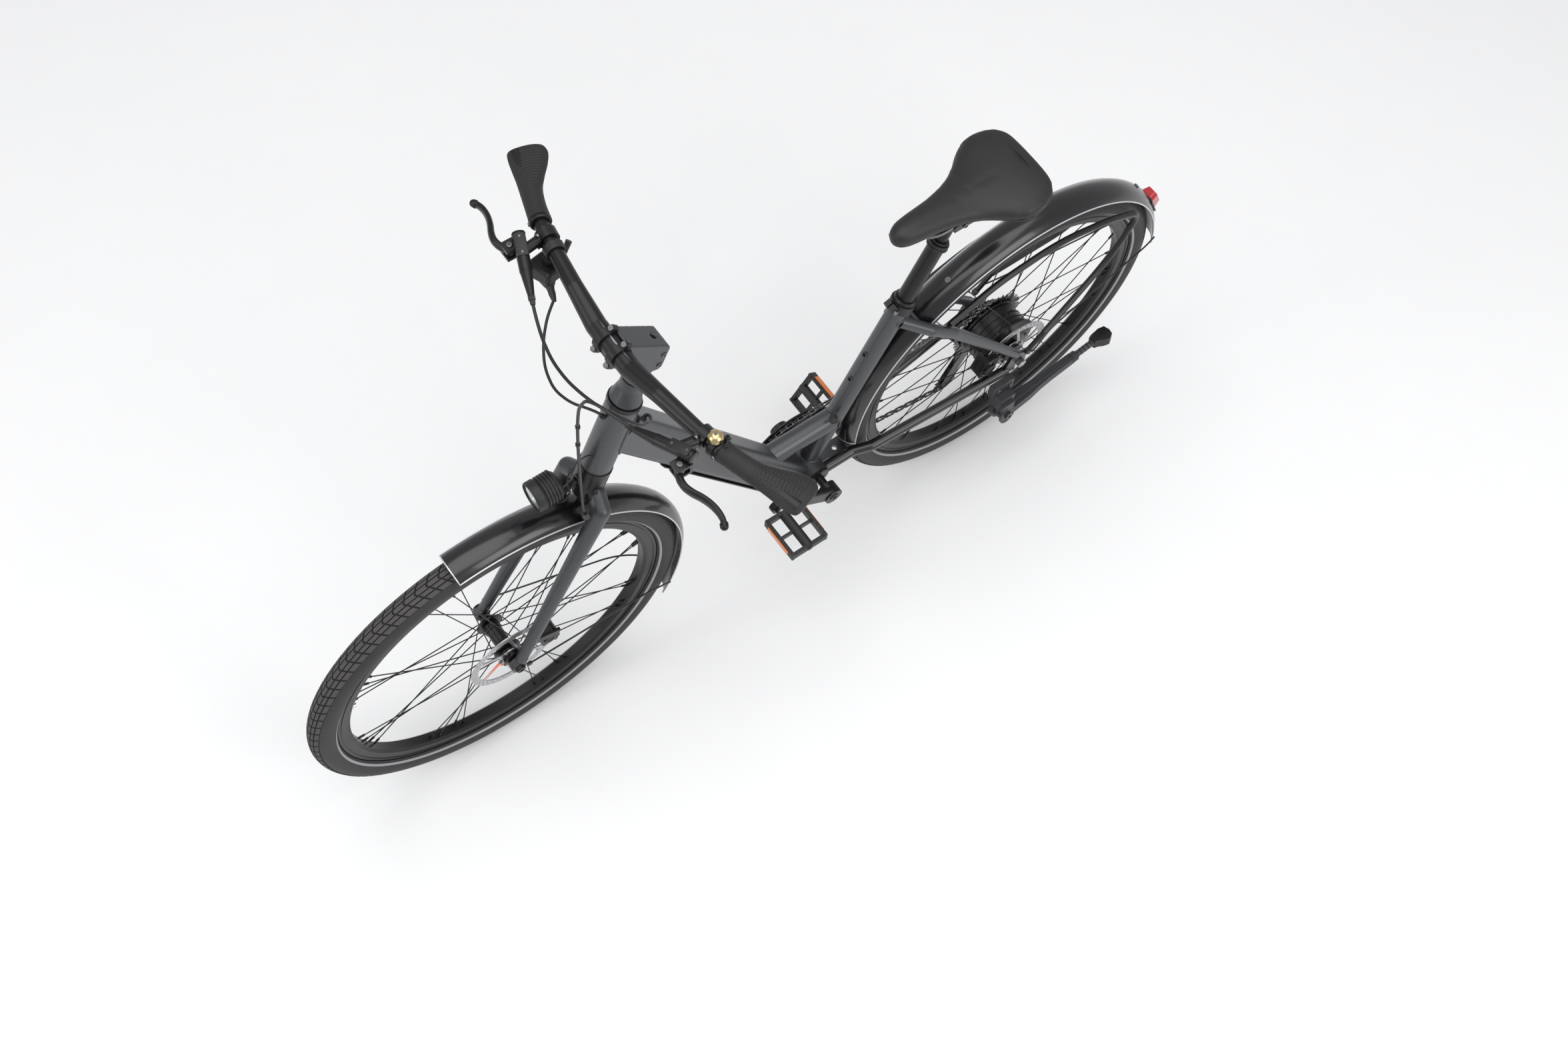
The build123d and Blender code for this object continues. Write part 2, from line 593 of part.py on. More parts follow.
def rim_with_valve(place, turn):
    seat = Rot(0, 0, turn) * Pos(300, 0, 0) * Rot(0, -90, 0)
    valve = Pos(0, 0, 2) * Cylinder(3.0, 34) + Pos(0, 0, 17) * Cylinder(4.2, 10)
    rim = rim_ring() - seat * Cylinder(3.05, 60)
    return group([place * rim, place * (seat * valve)])


def spoke_set(flange_r, flange_low, flange_high, cross_turn):
    """Half the spokes go to each flange; nipples sit on the inside of the rim."""
    spokes = []
    per_side = spoke_count // 2
    wire_r, nipple_r, nipple_long, rim_r = 1.0, 2.1, 13.0, 288.6
    for i in range(spoke_count):
        upper = i % 2 == 0
        pair = i // 2
        lead = 1 if pair % 2 == 0 else -1
        flange = flange_high if upper else flange_low
        shift = 1.2 * lead
        hub_turn = radians(pair * 360 / per_side + (0 if upper else 11.25))
        rim_turn = hub_turn + radians(cross_turn) * lead
        start = Vector((flange_r + 1.4) * cos(hub_turn), (flange_r + 1.4) * sin(hub_turn), flange + shift)
        end = Vector(rim_r * cos(rim_turn), rim_r * sin(rim_turn), (2.5 if upper else -2.5) + shift)
        line = end - start
        plane = Plane(origin=start, z_dir=line)
        profile = make_face(Polyline((0, 0), (wire_r, 0), (wire_r, line.length - nipple_long),
                                     (nipple_r, line.length - nipple_long), (nipple_r, line.length),
                                     (0, line.length), close=True))
        solid = revolve(Plane.XZ * profile, axis=Axis.Z)
        spokes.append(plane.location * solid)
    return group(spokes)


def rotor_disc(hub_r):
    disc = Cylinder(rotor_r, 1.8) - Cylinder(66.0, 6)
    for i in range(36):
        turn = radians(10 * i)
        for ring, lead in ((70.0, 0.0), (73.5, 0.06), (76.8, 0.12)):
            disc -= Pos(ring * cos(turn + lead), ring * sin(turn + lead), 0) * Cylinder(1.25, 6)
    arms = None
    for i in range(6):
        turn = radians(60 * i)
        inner = Vector((hub_r + 2) * cos(turn), (hub_r + 2) * sin(turn), 0)
        outer = Vector(67.5 * cos(turn + 0.5), 67.5 * sin(turn + 0.5), 0)
        middle = (inner + outer) * 0.5
        heading = degrees(atan2(outer.Y - inner.Y, outer.X - inner.X))
        arm = Pos(*middle) * Rot(0, 0, heading) * Box((outer - inner).length + 4, 6.5, 1.8)
        arms = arm if arms is None else arms + arm
    carrier = Cylinder(hub_r + 6, 1.8) - Cylinder(hub_r - 3, 6)
    return disc + arms + carrier - Cylinder(hub_r - 3, 6)


def front_wheel():
    place = on_axle(wheelbase)
    nodes["front_tyre"] = place * tyre_ring()
    nodes["front_rim"] = rim_with_valve(place, -18)
    nodes["front_spokes"] = place * spoke_set(25.0, -32.0, 24.0, 58.0)
    hub = turned([(6.05, -48.5), (10, -48.5), (13, -38), (25, -33.6), (25, -30.4), (15, -28),
                  (14, -10), (14, 8), (15, 20), (25, 22.4), (25, 25.6), (17, 29), (17, 45), (10, 48.5),
                  (6.05, 48.5)])
    nodes["front_hub"] = place * hub
    rotor = Pos(0, 0, 38.5) * rotor_disc(20.0)
    nodes["front_rotor"] = place * rotor
    nodes["front_axle"] = place * (turned([(0, -69), (8.5, -69), (9.5, -65.6), (axle_r, -65.6), (axle_r,
                                                                                                 65.6),
                                           (9.5, 65.6), (8.5, 70), (0, 70)]))


def rear_wheel():
    place = on_axle(0)
    nodes["rear_tyre"] = place * tyre_ring()
    nodes["rear_rim"] = rim_with_valve(place, 100)
    nodes["rear_spokes"] = place * spoke_set(66.0, -20.0, 30.0, 26.0)
    shell = turned([(6.25, -24.3), (34, -24.3), (58, -23), (66, -21.6), (66, -18.4), (60, -17), (59, 0),
                    (60, 27), (66, 28.4), (66, 31.6), (58, 33), (30, 37), (20.5, 45), (20.5, 54), (6.25,
                                                                                                   54)])
    nodes["hub_motor"] = place * shell
    nodes["rear_rotor"] = place * (Pos(0, 0, 49.0) * rotor_disc(24.0))
    axle = turned([(0, -84), (5, -84), (axle_r, -83), (axle_r, 83), (5, 84), (0, 84)])
    nuts = None
    for z in (-78.6, 78.6):
        nut = Pos(0, 0, z) * extrude(RegularPolygon(10, 6), amount=4.4, both=True) - Cylinder(axle_r, 400)
        nuts = nut if nuts is None else nuts + nut
    nodes["rear_axle"] = group([place * axle, place * nuts])


# ======================================================================
# Steering: fork, stem, handlebar and what they carry
# ======================================================================
def fork():
    crown = on_axis(crown_s, 428, 21, 27) + on_axis(428, head_low_s - 6.2, 27)
    steerer = on_axis(430, stem_high_s - 8.2, steerer_r)
    body = crown + steerer
    for side in (1, -1):
        shoulder, top = on_fork(0, side * 12, 424), on_fork(0.6, side * 47.5, 402)
        body += rod(shoulder, top, 17, 15.5) + ball(top, 15.4)
        foot = on_fork(fork_offset - 2, side * 58.0, 14)
        body += rod(top, foot, 15.4, 10.0)
        axle_in, axle_out = on_fork(fork_offset, side * 51, 0), on_fork(fork_offset, side * 65, 0)
        body += rod(axle_in, axle_out, 14)
        body -= rod(on_fork(fork_offset, side * 45, 0), on_fork(fork_offset, side * 75, 0), axle_r + 0.1)
        body -= rod(on_fork(fork_offset, side * 30, 0), on_fork(fork_offset, side * 51, 0), 30)
    nodes["fork"] = body

    lower = (on_axis(head_low_s - 5.9, head_low_s + 10, 22.45) + on_axis(head_low_s - 5.8,
                                                                         head_low_s - 0.1, 27.5))
    upper = on_axis(head_high_s - 10, head_high_s + 0.1, 22.45) + on_axis(head_high_s + 0.1,
                                                                          head_high_s + 8, 27.5)
    cups = [part - on_axis(head_low_s - 20, head_high_s + 20, steerer_r + running) for part in (lower,
                                                                                                upper)]
    bearings.extend(cups)
    cover = on_axis(head_high_s + 8.4, head_high_s + 34, 26, 19.5)
    spacers = cover
    for low, high in ((head_high_s + 34.2, head_high_s + 54), (head_high_s + 54.2, stem_low_s - 0.2)):
        spacers += on_axis(low - 0.2, high, 19.0)
    stem_parts.append(spacers - on_axis(head_high_s, stem_low_s + 5, steerer_r + running))


bar_middle = (852.0, 1083.0)


def handlebar_set():
    mid_x, mid_z = bar_middle
    half = [at(mid_x, 0, mid_z), at(mid_x, 42, mid_z), at(847, 104, 1098), at(832, 206, 1101),
            at(789, grip_tip_y, 1091)]
    radii = [bar_clamp_r, bar_clamp_r, 13.0, bar_grip_r, bar_grip_r]
    bar = None
    for side in (1, -1):
        points = [Vector(p.X, p.Y * side, p.Z) for p in half]
        arm = joined_rods(points, radii)
        bar = arm if bar is None else bar + arm
    nodes["handlebar"] = bar.solids()[0]

    # stem: a block from the steerer up to the bar
    centre_s = (stem_low_s + stem_high_s) / 2
    clamp_mid = on_fork(0, 0, centre_s)
    ahead = at(mid_x, 0, mid_z) - clamp_mid
    back_top, back_low = on_fork(-22, 0, stem_high_s), on_fork(-22, 0, stem_low_s)
    front_low = on_fork(22, 0, stem_low_s)
    normal = Vector(-ahead.Z, 0, ahead.X).normalized()
    bar_top = at(mid_x, 0, mid_z) + normal * 21
    bar_low = at(mid_x, 0, mid_z) - normal * 21
    outline = Polyline(back_low, back_top, bar_top, bar_low, front_low, close=True)
    block = extrude(make_face(outline), amount=21, dir=(0, 1, 0), both=True)
    block = fillet(block.edges().filter_by(Axis.Y).sort_by(Axis.X)[:2], 9)
    bar_hole = rod(at(mid_x, -40, mid_z), at(mid_x, 40, mid_z), bar_clamp_r + 0.05)
    block -= bar_hole
    block -= on_axis(stem_low_s - 5, stem_high_s - 5.9, steerer_r + running)
    block -= on_axis(stem_high_s - 10, stem_high_s + 30, 5.2)
    rear_slit = Pos(*on_fork(-18, 0, stem_low_s + 14)) * Rot(0, 90 - head_angle, 0) * Box(26, 2, 34)
    facing = ahead.normalized()
    clip = Pos(*(at(mid_x, 0, mid_z) + facing * 40.2)) * Rot(0, -degrees(atan2(facing.Z, facing.X)),
                                                             0) * Box(80, 60, 70)
    block -= clip
    nodes["stem"] = group([(block - rear_slit).solids().sort_by(SortBy.VOLUME)[-1]] + stem_parts)

    rings, bolts = None, [on_axis(stem_high_s - 8, stem_high_s - 1, 5.0)]
    for side in (1, -1):
        ring = (rod(at(mid_x, side * 10, mid_z), at(mid_x, side * 22, mid_z), 21)
                - rod(at(mid_x, -40, mid_z), at(mid_x, 40, mid_z), bar_clamp_r + 0.05))
        for up in (1, -1):
            spot = at(mid_x, side * 16, mid_z) + normal * up * 20.5
            ring += rod(spot + facing * 0.4, spot + facing * 9, 5.2)
        ring -= Pos(*(at(mid_x, 0, mid_z) - facing * 39.8)) * Rot(0, -degrees(atan2(facing.Z,
            facing.X)), 0) * Box(80, 60, 80)
        ring -= rod(at(mid_x, -40, mid_z), at(mid_x, 40, mid_z), bar_clamp_r + 0.05)
        for up in (1, -1):
            spot = at(mid_x, side * 16, mid_z) + normal * up * 20.5
            ring -= rod(spot - facing * 5, spot + facing * 12, 2.55)
            ring -= rod(spot + facing * 9, spot + facing * 20, 4.3)
            bolts.append(rod(spot + facing * 0.5, spot + facing * 9, 2.5)
                         + rod(spot + facing * 9, spot + facing * 13, 4.2))
        rings = ring if rings is None else rings + ring
    nodes["stem_faceplate"] = group([rings] + bolts)

    for side, name in ((1, "left"), (-1, "right")):
        grip(side, name)
        brake_control(side, name)
    shifter()
    bell()


def bar_point(side, y):
    """A point on the outer part of the bar's centre line at the given distance out."""
    if y < 206:
        share = (y - 104) / (206 - 104)
        return at(847 + (832 - 847) * share, side * y, 1098 + (1101 - 1098) * share)
    share = (y - 206) / (grip_tip_y - 206)
    return at(832 + (789 - 832) * share, side * y, 1101 + (1091 - 1101) * share)


def grip(side, name):
    inner, outer = bar_point(side, 226), bar_point(side, grip_tip_y + 6)
    line = (outer - inner).normalized()
    rearward = Vector(-1, 0, 0) - line * Vector(-1, 0, 0).dot(line)
    rearward = rearward.normalized()
    sections = []
    for share, wide, high, back in ((0.0, 16.0, 16.0, 0.0), (0.3, 16.5, 15.5, 1.0), (0.62, 24.0, 13.0, 9.0),
                                    (0.88, 30.0, 11.5, 15.0), (1.0, 26.0, 9.0, 13.0)):
        origin = inner + (outer - inner) * share + rearward * back
        sections.append(Plane(origin=origin, x_dir=rearward, z_dir=line) * Ellipse(wide, high))
    body = loft(sections)
    body -= rod(inner - line * 2, bar_point(side, grip_tip_y) + line * 0.3, bar_grip_r + 0.02)
    nodes["grip_" + name] = body


def brake_control(side, name):
    clamp_in, clamp_out = bar_point(side, 186), bar_point(side, 202)
    line = (clamp_out - clamp_in).normalized()
    ring = rod(clamp_in, clamp_out, 16.5) - rod(clamp_in - line * 5, clamp_out + line * 5, bar_grip_r + 1.2)
    ring_gap = rod(clamp_in - line * 2, clamp_out + line * 2, bar_grip_r + 1.2)
    outer_end, hose_end = at(868, side * 214, 1111), at(903, side * 128, 1092)
    middle = outer_end + (hose_end - outer_end) * 0.62
    reservoir = rod(outer_end, middle, 9.5) + rod(middle, hose_end, 9.0, 5.0)
    neck = joined_rods([bar_point(side, 194) + Vector(12, 0, 3),
                        outer_end + (hose_end - outer_end) * 0.3], [8, 8])
    pivot = at(886, side * 210, 1091)
    lug = Pos(*(pivot + Vector(-1, 0, 8.8))) * Box(22, 20, 5) + Pos(*(pivot + Vector(-1, 0,
                                                                                     -8.8))) * Box(22, 20, 5)
    web = Pos(*(pivot + Vector(-12.5, 0, 0))) * Box(5, 20, 22.6)
    body = ring + reservoir + neck + lug + web - ring_gap
    body -= rod(pivot + Vector(0, 0, -20), pivot + Vector(0, 0, 20), 3.0)
    room = rod(pivot + Vector(0, 0, -6.25), pivot + Vector(0, 0, 6.25), 9.6)
    room += Pos(*(pivot + Vector(8, side * 18, 0))) * Box(30, 40, 12.5)
    body = body - room - nodes["handlebar"]
    nodes["brake_body_" + name] = body.solids().sort_by(SortBy.VOLUME)[-1]

    blade_points = [pivot + Vector(4, side * 2, 0), pivot + Vector(10, side * 26, -1),
                    pivot + Vector(0, side * 50, -3), pivot + Vector(-6, side * 78, -6),
                    pivot + Vector(-4, side * 96, -8)]
    blade = joined_rods(blade_points, [5.6, 5.4, 5.0, 4.6, 4.2]) + ball(blade_points[-1], 5.6)
    knuckle = rod(pivot + Vector(0, 0, -6), pivot + Vector(0, 0, 6), 8.5)
    pin = rod(pivot + Vector(0, 0, -11.4), pivot + Vector(0, 0, 11.4), 2.95)
    head = rod(pivot + Vector(0, 0, 11.4), pivot + Vector(0, 0, 13.0), 5.0)
    nodes["brake_lever_" + name] = blade + knuckle + pin + head


def shifter():
    side = -1
    centre = at(853, side * 172, 1064)
    clamp_in, clamp_out = bar_point(side, 164), bar_point(side, 176)
    line = (clamp_out - clamp_in).normalized()
    ring = rod(clamp_in, clamp_out, 16.0) - rod(clamp_in - line * 5, clamp_out + line * 5, bar_grip_r + 1.9)
    pod = fillet(Box(44, 46, 22).edges(), 6)
    pod = Pos(*centre) * Rot(12, -12, 20) * pod
    neck = Pos(*at(846, side * 170, 1079)) * Box(18, 12, 22)
    body = ring + neck + pod
    body -= rod(bar_point(side, 150), bar_point(side, 190), bar_grip_r + 1.9)
    hub = at(838, side * 186, 1050)
    body = body - rod(hub + Vector(0, 0, -3.0), hub + Vector(0, 0, 30), 3.0) - nodes["handlebar"]
    nodes["shifter_body"] = body.solids().sort_by(SortBy.VOLUME)[-1]
    disc = rod(hub + Vector(0, 0, -9), hub + Vector(0, 0, -4.4), 11)
    stalk = joined_rods([hub + Vector(-4, 0, -6.7), at(812, side * 190, 1045), at(798, side * 196, 1060)],
                        [4.2, 4.2, 5.0])
    pin = rod(hub + Vector(0, 0, -9), hub + Vector(0, 0, 8), 2.95)
    nodes["shift_lever"] = disc + stalk + pin


def bell():
    side = 1
    clamp_in, clamp_out = bar_point(side, 207), bar_point(side, 217)
    line = (clamp_out - clamp_in).normalized()
    ring = rod(clamp_in, clamp_out, 15.5) - rod(clamp_in - line * 5, clamp_out + line * 5, bar_grip_r + 0.05)
    post_low = bar_point(side, 212) + Vector(0, 0, 13)
    base = ring + rod(post_low, post_low + Vector(0, 0, 7), 9)
    base += rod(post_low + Vector(0, 0, 5), post_low + Vector(0, 0, 16), 3.0)
    dome_low = post_low + Vector(0, 0, 8)
    dome = (rod(dome_low, dome_low + Vector(0, 0, 11), 13.5, 9.0) + rod(dome_low + Vector(0, 0, -0.5),
                                                                        dome_low, 13.5)
            - rod(dome_low - Vector(0, 0, 1), dome_low + Vector(0, 0, 9), 11.6, 7.4)
            - rod(dome_low, dome_low + Vector(0, 0, 20), 3.02))
    hinge = post_low + Vector(-16, 6, 2)
    ear = Pos(*(post_low + Vector(-11, 4, 2))) * Box(6, 6, 4)
    base += ear
    base -= rod(hinge + Vector(0, 0, -8), hinge + Vector(0, 0, 12), 3.8)
    base += rod(hinge + Vector(0, 0, -3.5), hinge + Vector(0, 0, 4.5), 1.45) \
        + Pos(*(hinge + Vector(3, -1, -3))) * Box(8, 5, 1.6)
    base = (base - nodes["handlebar"]).solids().sort_by(SortBy.VOLUME)[-1]
    nodes["bell"] = group([base, dome])
    tip = hinge + Vector(13, 13.5, 9)
    arm = (rod(hinge + Vector(0, 0, -1.8), hinge + Vector(0, 0, 1.8), 3.4)
           + rod(hinge + Vector(1, 2, 0), tip, 1.6, 1.4) + ball(tip, 3.4))
    nodes["bell_striker"] = arm - rod(hinge + Vector(0, 0, -4), hinge + Vector(0, 0, 4), 1.5)


def headlight():
    mid_z, low_x, high_x = 790.0, 958.0, 1008.0
    case = rod(at(low_x, 0, mid_z), at(high_x - 4, 0, mid_z), 26)
    for i in range(4):
        x = low_x + 6 + i * 6
        case -= rod(at(x, 0, mid_z), at(x + 2.5, 0, mid_z), 30) - rod(at(x - 1, 0, mid_z), at(x + 4, 0,
                                                                                              mid_z), 24.4)
    case -= rod(at(high_x - 14, 0, mid_z), at(high_x, 0, mid_z), 20, 23.5)
    lens = rod(at(high_x - 7, 0, mid_z), at(high_x - 3, 0, mid_z), 21.2)
    lens -= (rod(at(high_x - 8, 0, mid_z), at(high_x - 2, 0, mid_z), 30)
             - rod(at(high_x - 14, 0, mid_z), at(high_x, 0, mid_z), 20, 23.4))
    nodes["headlight"] = group([case, lens])
    foot = on_fork(26.5, 0, 440)
    bracket = joined_rods([foot + steer_ahead * 3, at(966, 0, 741), at(976, 0, 762.5)], [6.0, 5.0, 5.0])
    bracket += rod(foot, foot + steer_ahead * 5, 9)
    bracket -= on_axis(400, 470, 27.05)
    bracket -= rod(at(low_x - 5, 0, mid_z), at(high_x, 0, mid_z), 26.02)
    fork_brackets.append(bracket.solids().sort_by(SortBy.VOLUME)[-1])


def front_guard_set():
    nodes["front_fender"] = fender(wheelbase, front_fender_from, front_fender_to)
    parts = []
    for side in (1, -1):
        top = round_axle(wheelbase, fender_edge - 1, 201, side * 31.9)
        end = at(wheelbase - 16, side * 71.4, axle_z + 10)
        wire, _ = bent_tube([top, at(wheelbase - 270, side * 46, axle_z - 72), end], 1.6)
        parts.append(wire + rod(end - Vector(0, 2.4, 0), end + Vector(0, 2.4, 0), 4.6))
    tab = rod(on_fork(-4, 0, fender_crown - 3.6), on_fork(-4, 0, crown_s - 0.1), 7.5)
    tab -= Pos(*at(wheelbase, 0, axle_z)) * Rot(90, 0, 0) * Cylinder(fender_crown + 0.05, 100)
    nodes["front_brackets"] = group(fork_brackets + parts + [tab])


def calipers():
    def caliper(middle, facing):
        """A two-piston caliper: a body each side of the rotor and a bridge over it."""
        plane = Plane(origin=middle, x_dir=facing, z_dir=(0, 1, 0))
        block = extrude(plane * RectangleRounded(36, 50, 8), amount=13, both=True)
        block -= extrude(plane * Pos(10, 0) * Rectangle(48, 60), amount=2.6, both=True)
        block += rod(middle + Vector(0, 12, 0), middle + Vector(0, 18, 0), 12)
        block += rod(middle - Vector(0, 12, 0), middle - Vector(0, 14, 0), 11)
        return block
    toward = Vector(cos(radians(-10)), 0, sin(radians(-10)))
    body = caliper(at(wheelbase - 68, 38.5, axle_z + 16), toward)
    arm = Pos(*at(wheelbase - 58, 55, axle_z + 38)) * Rot(0, -20, 0) * Box(60, 6, 14)
    leg_cut = rod(on_fork(0.6, 47.5, 402), on_fork(fork_offset - 2, 58.0, 14), 15.45, 10.05)
    nodes["front_caliper"] = (body + arm - leg_cut).solids().sort_by(SortBy.VOLUME)[-1]
    body = caliper(at(69, 49, axle_z + 22), Vector(-1, 0, -0.3).normalized())
    arm = Pos(*at(64, 62, axle_z + 0)) * Rot(0, -60, 0) * Box(60, 6, 13)
    stays = joined_rods(chain_stay_points(1), [10.55, 10.05, 10.05, 9.55])
    stays += joined_rods(seat_stay_points(1)[1:], [11.05, 11.05, 9.05])
    nodes["rear_caliper"] = (body + arm - stays).solids().sort_by(SortBy.VOLUME)[-1]


# ======================================================================
# Seat post and saddle
# ======================================================================
def seat_and_post():
    bore_top = post_collar + 12
    lower = rod(on_seat_line(250), on_seat_line(post_collar), seat_post_r)
    lower += rod(on_seat_line(post_collar), on_seat_line(bore_top), 17.5)
    lower -= rod(on_seat_line(420), on_seat_line(bore_top + 1), 11.05)
    nodes["seatpost_lower"] = lower
    upper = rod(on_seat_line(425 + 45), on_seat_line(post_head), 11.0)
    head = on_seat_line(post_head)
    yoke = rod(head + Vector(0, -15, 3), head + Vector(0, 15, 3), 10)
    rails = []
    clamp = None
    for side in (1, -1):
        rail_points = [at(300, side * 10, 925), at(262, side * 21, 905), at(160, side * 22, 905),
                       at(100, side * 34, 922)]
        rail, _ = bent_tube(rail_points, 3.5)
        rails.append(rail)
        cheek = Pos(*(at(208, side * 22, 905))) * Box(40, 12, 15)
        clamp = cheek if clamp is None else clamp + cheek
    clamp += Pos(*at(208, 0, 907)) * Box(30, 36, 10)
    for rail in rails:
        clamp -= rail
    clamp -= yoke
    nodes["seatpost_upper"] = group([upper + yoke, clamp.solids().sort_by(SortBy.VOLUME)[-1]])
    nodes["saddle_rails"] = group(rails)

    sections = []
    for x, half_wide, low, high in ((338, 13, 921, 945), (325, 21, 913, 951), (280, 26, 911, 953), (215,
        38, 910, 952),
                                    (160, 68, 908, 954), (120, 88, 910, 957), (85, 84, 920, 958), (62,
                                        60, 932, 955)):
        plane = Plane(origin=at(x, 0, (low + high) / 2), x_dir=(0, 1, 0), z_dir=(1, 0, 0))
        sections.append(plane * Ellipse(half_wide, (high - low) / 2))
    saddle_body = loft(sections)
    hollow = []
    for x, half_wide, low in ((318, 12, 905), (240, 22, 905), (160, 52, 905), (100, 66, 905)):
        plane = Plane(origin=at(x, 0, low + 8), x_dir=(0, 1, 0), z_dir=(1, 0, 0))
        hollow.append(plane * RectangleRounded(2 * half_wide, 32, 5))
    saddle_body -= loft(hollow)
    saddle_body = saddle_body.solids().sort_by(SortBy.VOLUME)[-1]
    for rail in rails:
        saddle_body -= rail
    nodes["saddle"] = saddle_body.solids().sort_by(SortBy.VOLUME)[-1]


# ======================================================================
# Hoses and cables
# ======================================================================
def hoses():
    hose("front_brake_hose", [at(904.5, 125, 1091.5), at(915, 100, 1095), at(924, 76, 1100), at(932, 54,
                                                                                                1092),
                              at(937, 42, 1060), at(939, 38, 1012), at(941, 38, 950), at(943, 40, 880),
                              at(944, 42, 815), at(945, 45, 762), at(941, 47, 731)], 2.5)
    hose("rear_brake_hose", [at(904.5, -125, 1091.5), at(914, -100, 1082), at(920, -76, 1062), at(921,
                                                                                                  -52, 1038),
                             at(914, -26, 1012), at(899, 0, 986), at(879, 24, 961), at(856, 41, 936),
                             at(836, 46, 910), at(819, 36, 892), at(809, 19, 870), at(803, 13, 846)], 2.5)
    hose("shift_cable", [at(868, -128, 1052), at(890, -112, 1046), at(912, -90, 1032), at(928, -64, 1010),
                         at(930, -38, 986), at(917, -16, 968), at(897, -4, 950), at(880, -1, 936)], 2.2)
    hose("light_cable", [on_fork(26.6, 9, 506), on_fork(40, 11, 519), on_fork(60, 11, 512), at(948, 10, 812),
                         at(949, 10, 784), at(945, 10, 757), at(955, 10, 740), at(969, 9.5,
                             746), at(969, 9, 764.8)], 1.6)


# ======================================================================
# Small pieces
# ======================================================================
def small_pieces(loose_screws):
    screws = list(loose_screws)
    for distance in bottle_screws:
        foot = on_seat_line(distance) + bottle_normal * (seat_tube_r - 1.5)
        flange = rod(foot, foot + bottle_normal * 3.5, 5.5)
        flange -= rod(on_seat_line(distance - 20), on_seat_line(distance + 20), seat_tube_r)
        insert = flange + rod(foot - bottle_normal * 1.1, foot + bottle_normal * 3.5, 3.65)
        insert -= rod(foot - bottle_normal * 8, foot + bottle_normal * 8, 2.5)
        screws.append(insert)
    nodes["frame_screws"] = group(screws)
    cap_foot = at(410, 17.0, 462)
    cap_out = Vector(0.45, 0.88, 0.15).normalized()
    cap = rod(cap_foot - cap_out * 4, cap_foot + cap_out * 5, 8)
    cap -= rod(on_seat_line(0), on_seat_line(seat_tube_top), seat_tube_r + 0.02)
    cap -= rod(at(380, 0, 428), at(560, 0, 428), 20.02)
    nodes["charge_port_cap"] = cap.solids().sort_by(SortBy.VOLUME)[-1]


bearings, stem_parts, fork_brackets = [], [], []
frame_tubes()
rear_triangle()
clamp_bolt = seat_clamp()
guard_screws = rear_guard_set()
small_pieces([clamp_bolt] + guard_screws)
kickstand()
drivetrain()
derailleur()
front_wheel()
rear_wheel()
fork()
handlebar_set()
headlight()
front_guard_set()
calipers()
seat_and_post()
hoses()
nodes["frame_bearings"] = group(bearings)
tubes = ["head_tube", "seat_tube", "bottom_bracket_shell", "brace_tube"]
nodes["main_frame"] = group([nodes.pop(name) for name in tubes])
stays = ["seat_stay_left", "seat_stay_right", "chain_stay_left", "chain_stay_right", "stay_bridge"]
nodes["rear_stays"] = group([nodes.pop(name) for name in stays])
nodes["frame_fittings"] = group([nodes.pop(name) for name in ("frame_screws", "charge_port_cap",
                                                              "seat_clamp")])
nodes["control_cables"] = group([nodes.pop(name) for name in ("shift_cable", "light_cable")])

os.makedirs("parts", exist_ok=True)
for name, shape in nodes.items():
    export_step(shape, f"parts/{name}.step")
print(len(nodes), "nodes written")
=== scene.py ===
import math

import bmesh
import bpy
from mathutils import Matrix, Vector


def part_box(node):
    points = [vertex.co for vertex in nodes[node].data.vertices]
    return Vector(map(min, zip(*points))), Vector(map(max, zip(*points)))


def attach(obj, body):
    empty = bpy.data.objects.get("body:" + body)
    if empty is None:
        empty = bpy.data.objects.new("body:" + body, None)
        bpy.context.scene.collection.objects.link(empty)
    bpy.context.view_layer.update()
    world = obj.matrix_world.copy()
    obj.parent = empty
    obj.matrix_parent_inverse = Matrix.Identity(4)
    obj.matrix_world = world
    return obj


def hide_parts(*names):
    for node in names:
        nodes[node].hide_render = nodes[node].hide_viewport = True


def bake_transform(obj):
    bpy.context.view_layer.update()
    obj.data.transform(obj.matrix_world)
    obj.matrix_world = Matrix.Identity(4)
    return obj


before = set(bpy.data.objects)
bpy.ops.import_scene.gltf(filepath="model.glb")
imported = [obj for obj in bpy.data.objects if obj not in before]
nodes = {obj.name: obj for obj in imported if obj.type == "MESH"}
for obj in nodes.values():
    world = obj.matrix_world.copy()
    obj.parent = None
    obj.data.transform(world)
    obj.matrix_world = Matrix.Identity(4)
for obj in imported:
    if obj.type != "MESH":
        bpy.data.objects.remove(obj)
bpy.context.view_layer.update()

mm = 0.001


def middle(node):
    low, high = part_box(node)
    return (low + high) / 2


rearAxle = middle("rear_axle")
frontAxle = middle("front_hub")
rearX = rearAxle.x / mm
axleZ = rearAxle.z / mm
frontCentre = Vector((frontAxle.x, 0, frontAxle.z))
rearCentre = Vector((rearAxle.x, 0, rearAxle.z))
wheelbase, axleHeight = 1102, 361
forward, leftward, upward = Vector((1, 0, 0)), Vector((0, 1, 0)), Vector((0, 0, 1))


def at(x, y, z):
    # millimetres ahead of the rear axle, to the left, and above the ground
    return Vector(((x + rearX) * mm, y * mm, z * mm))


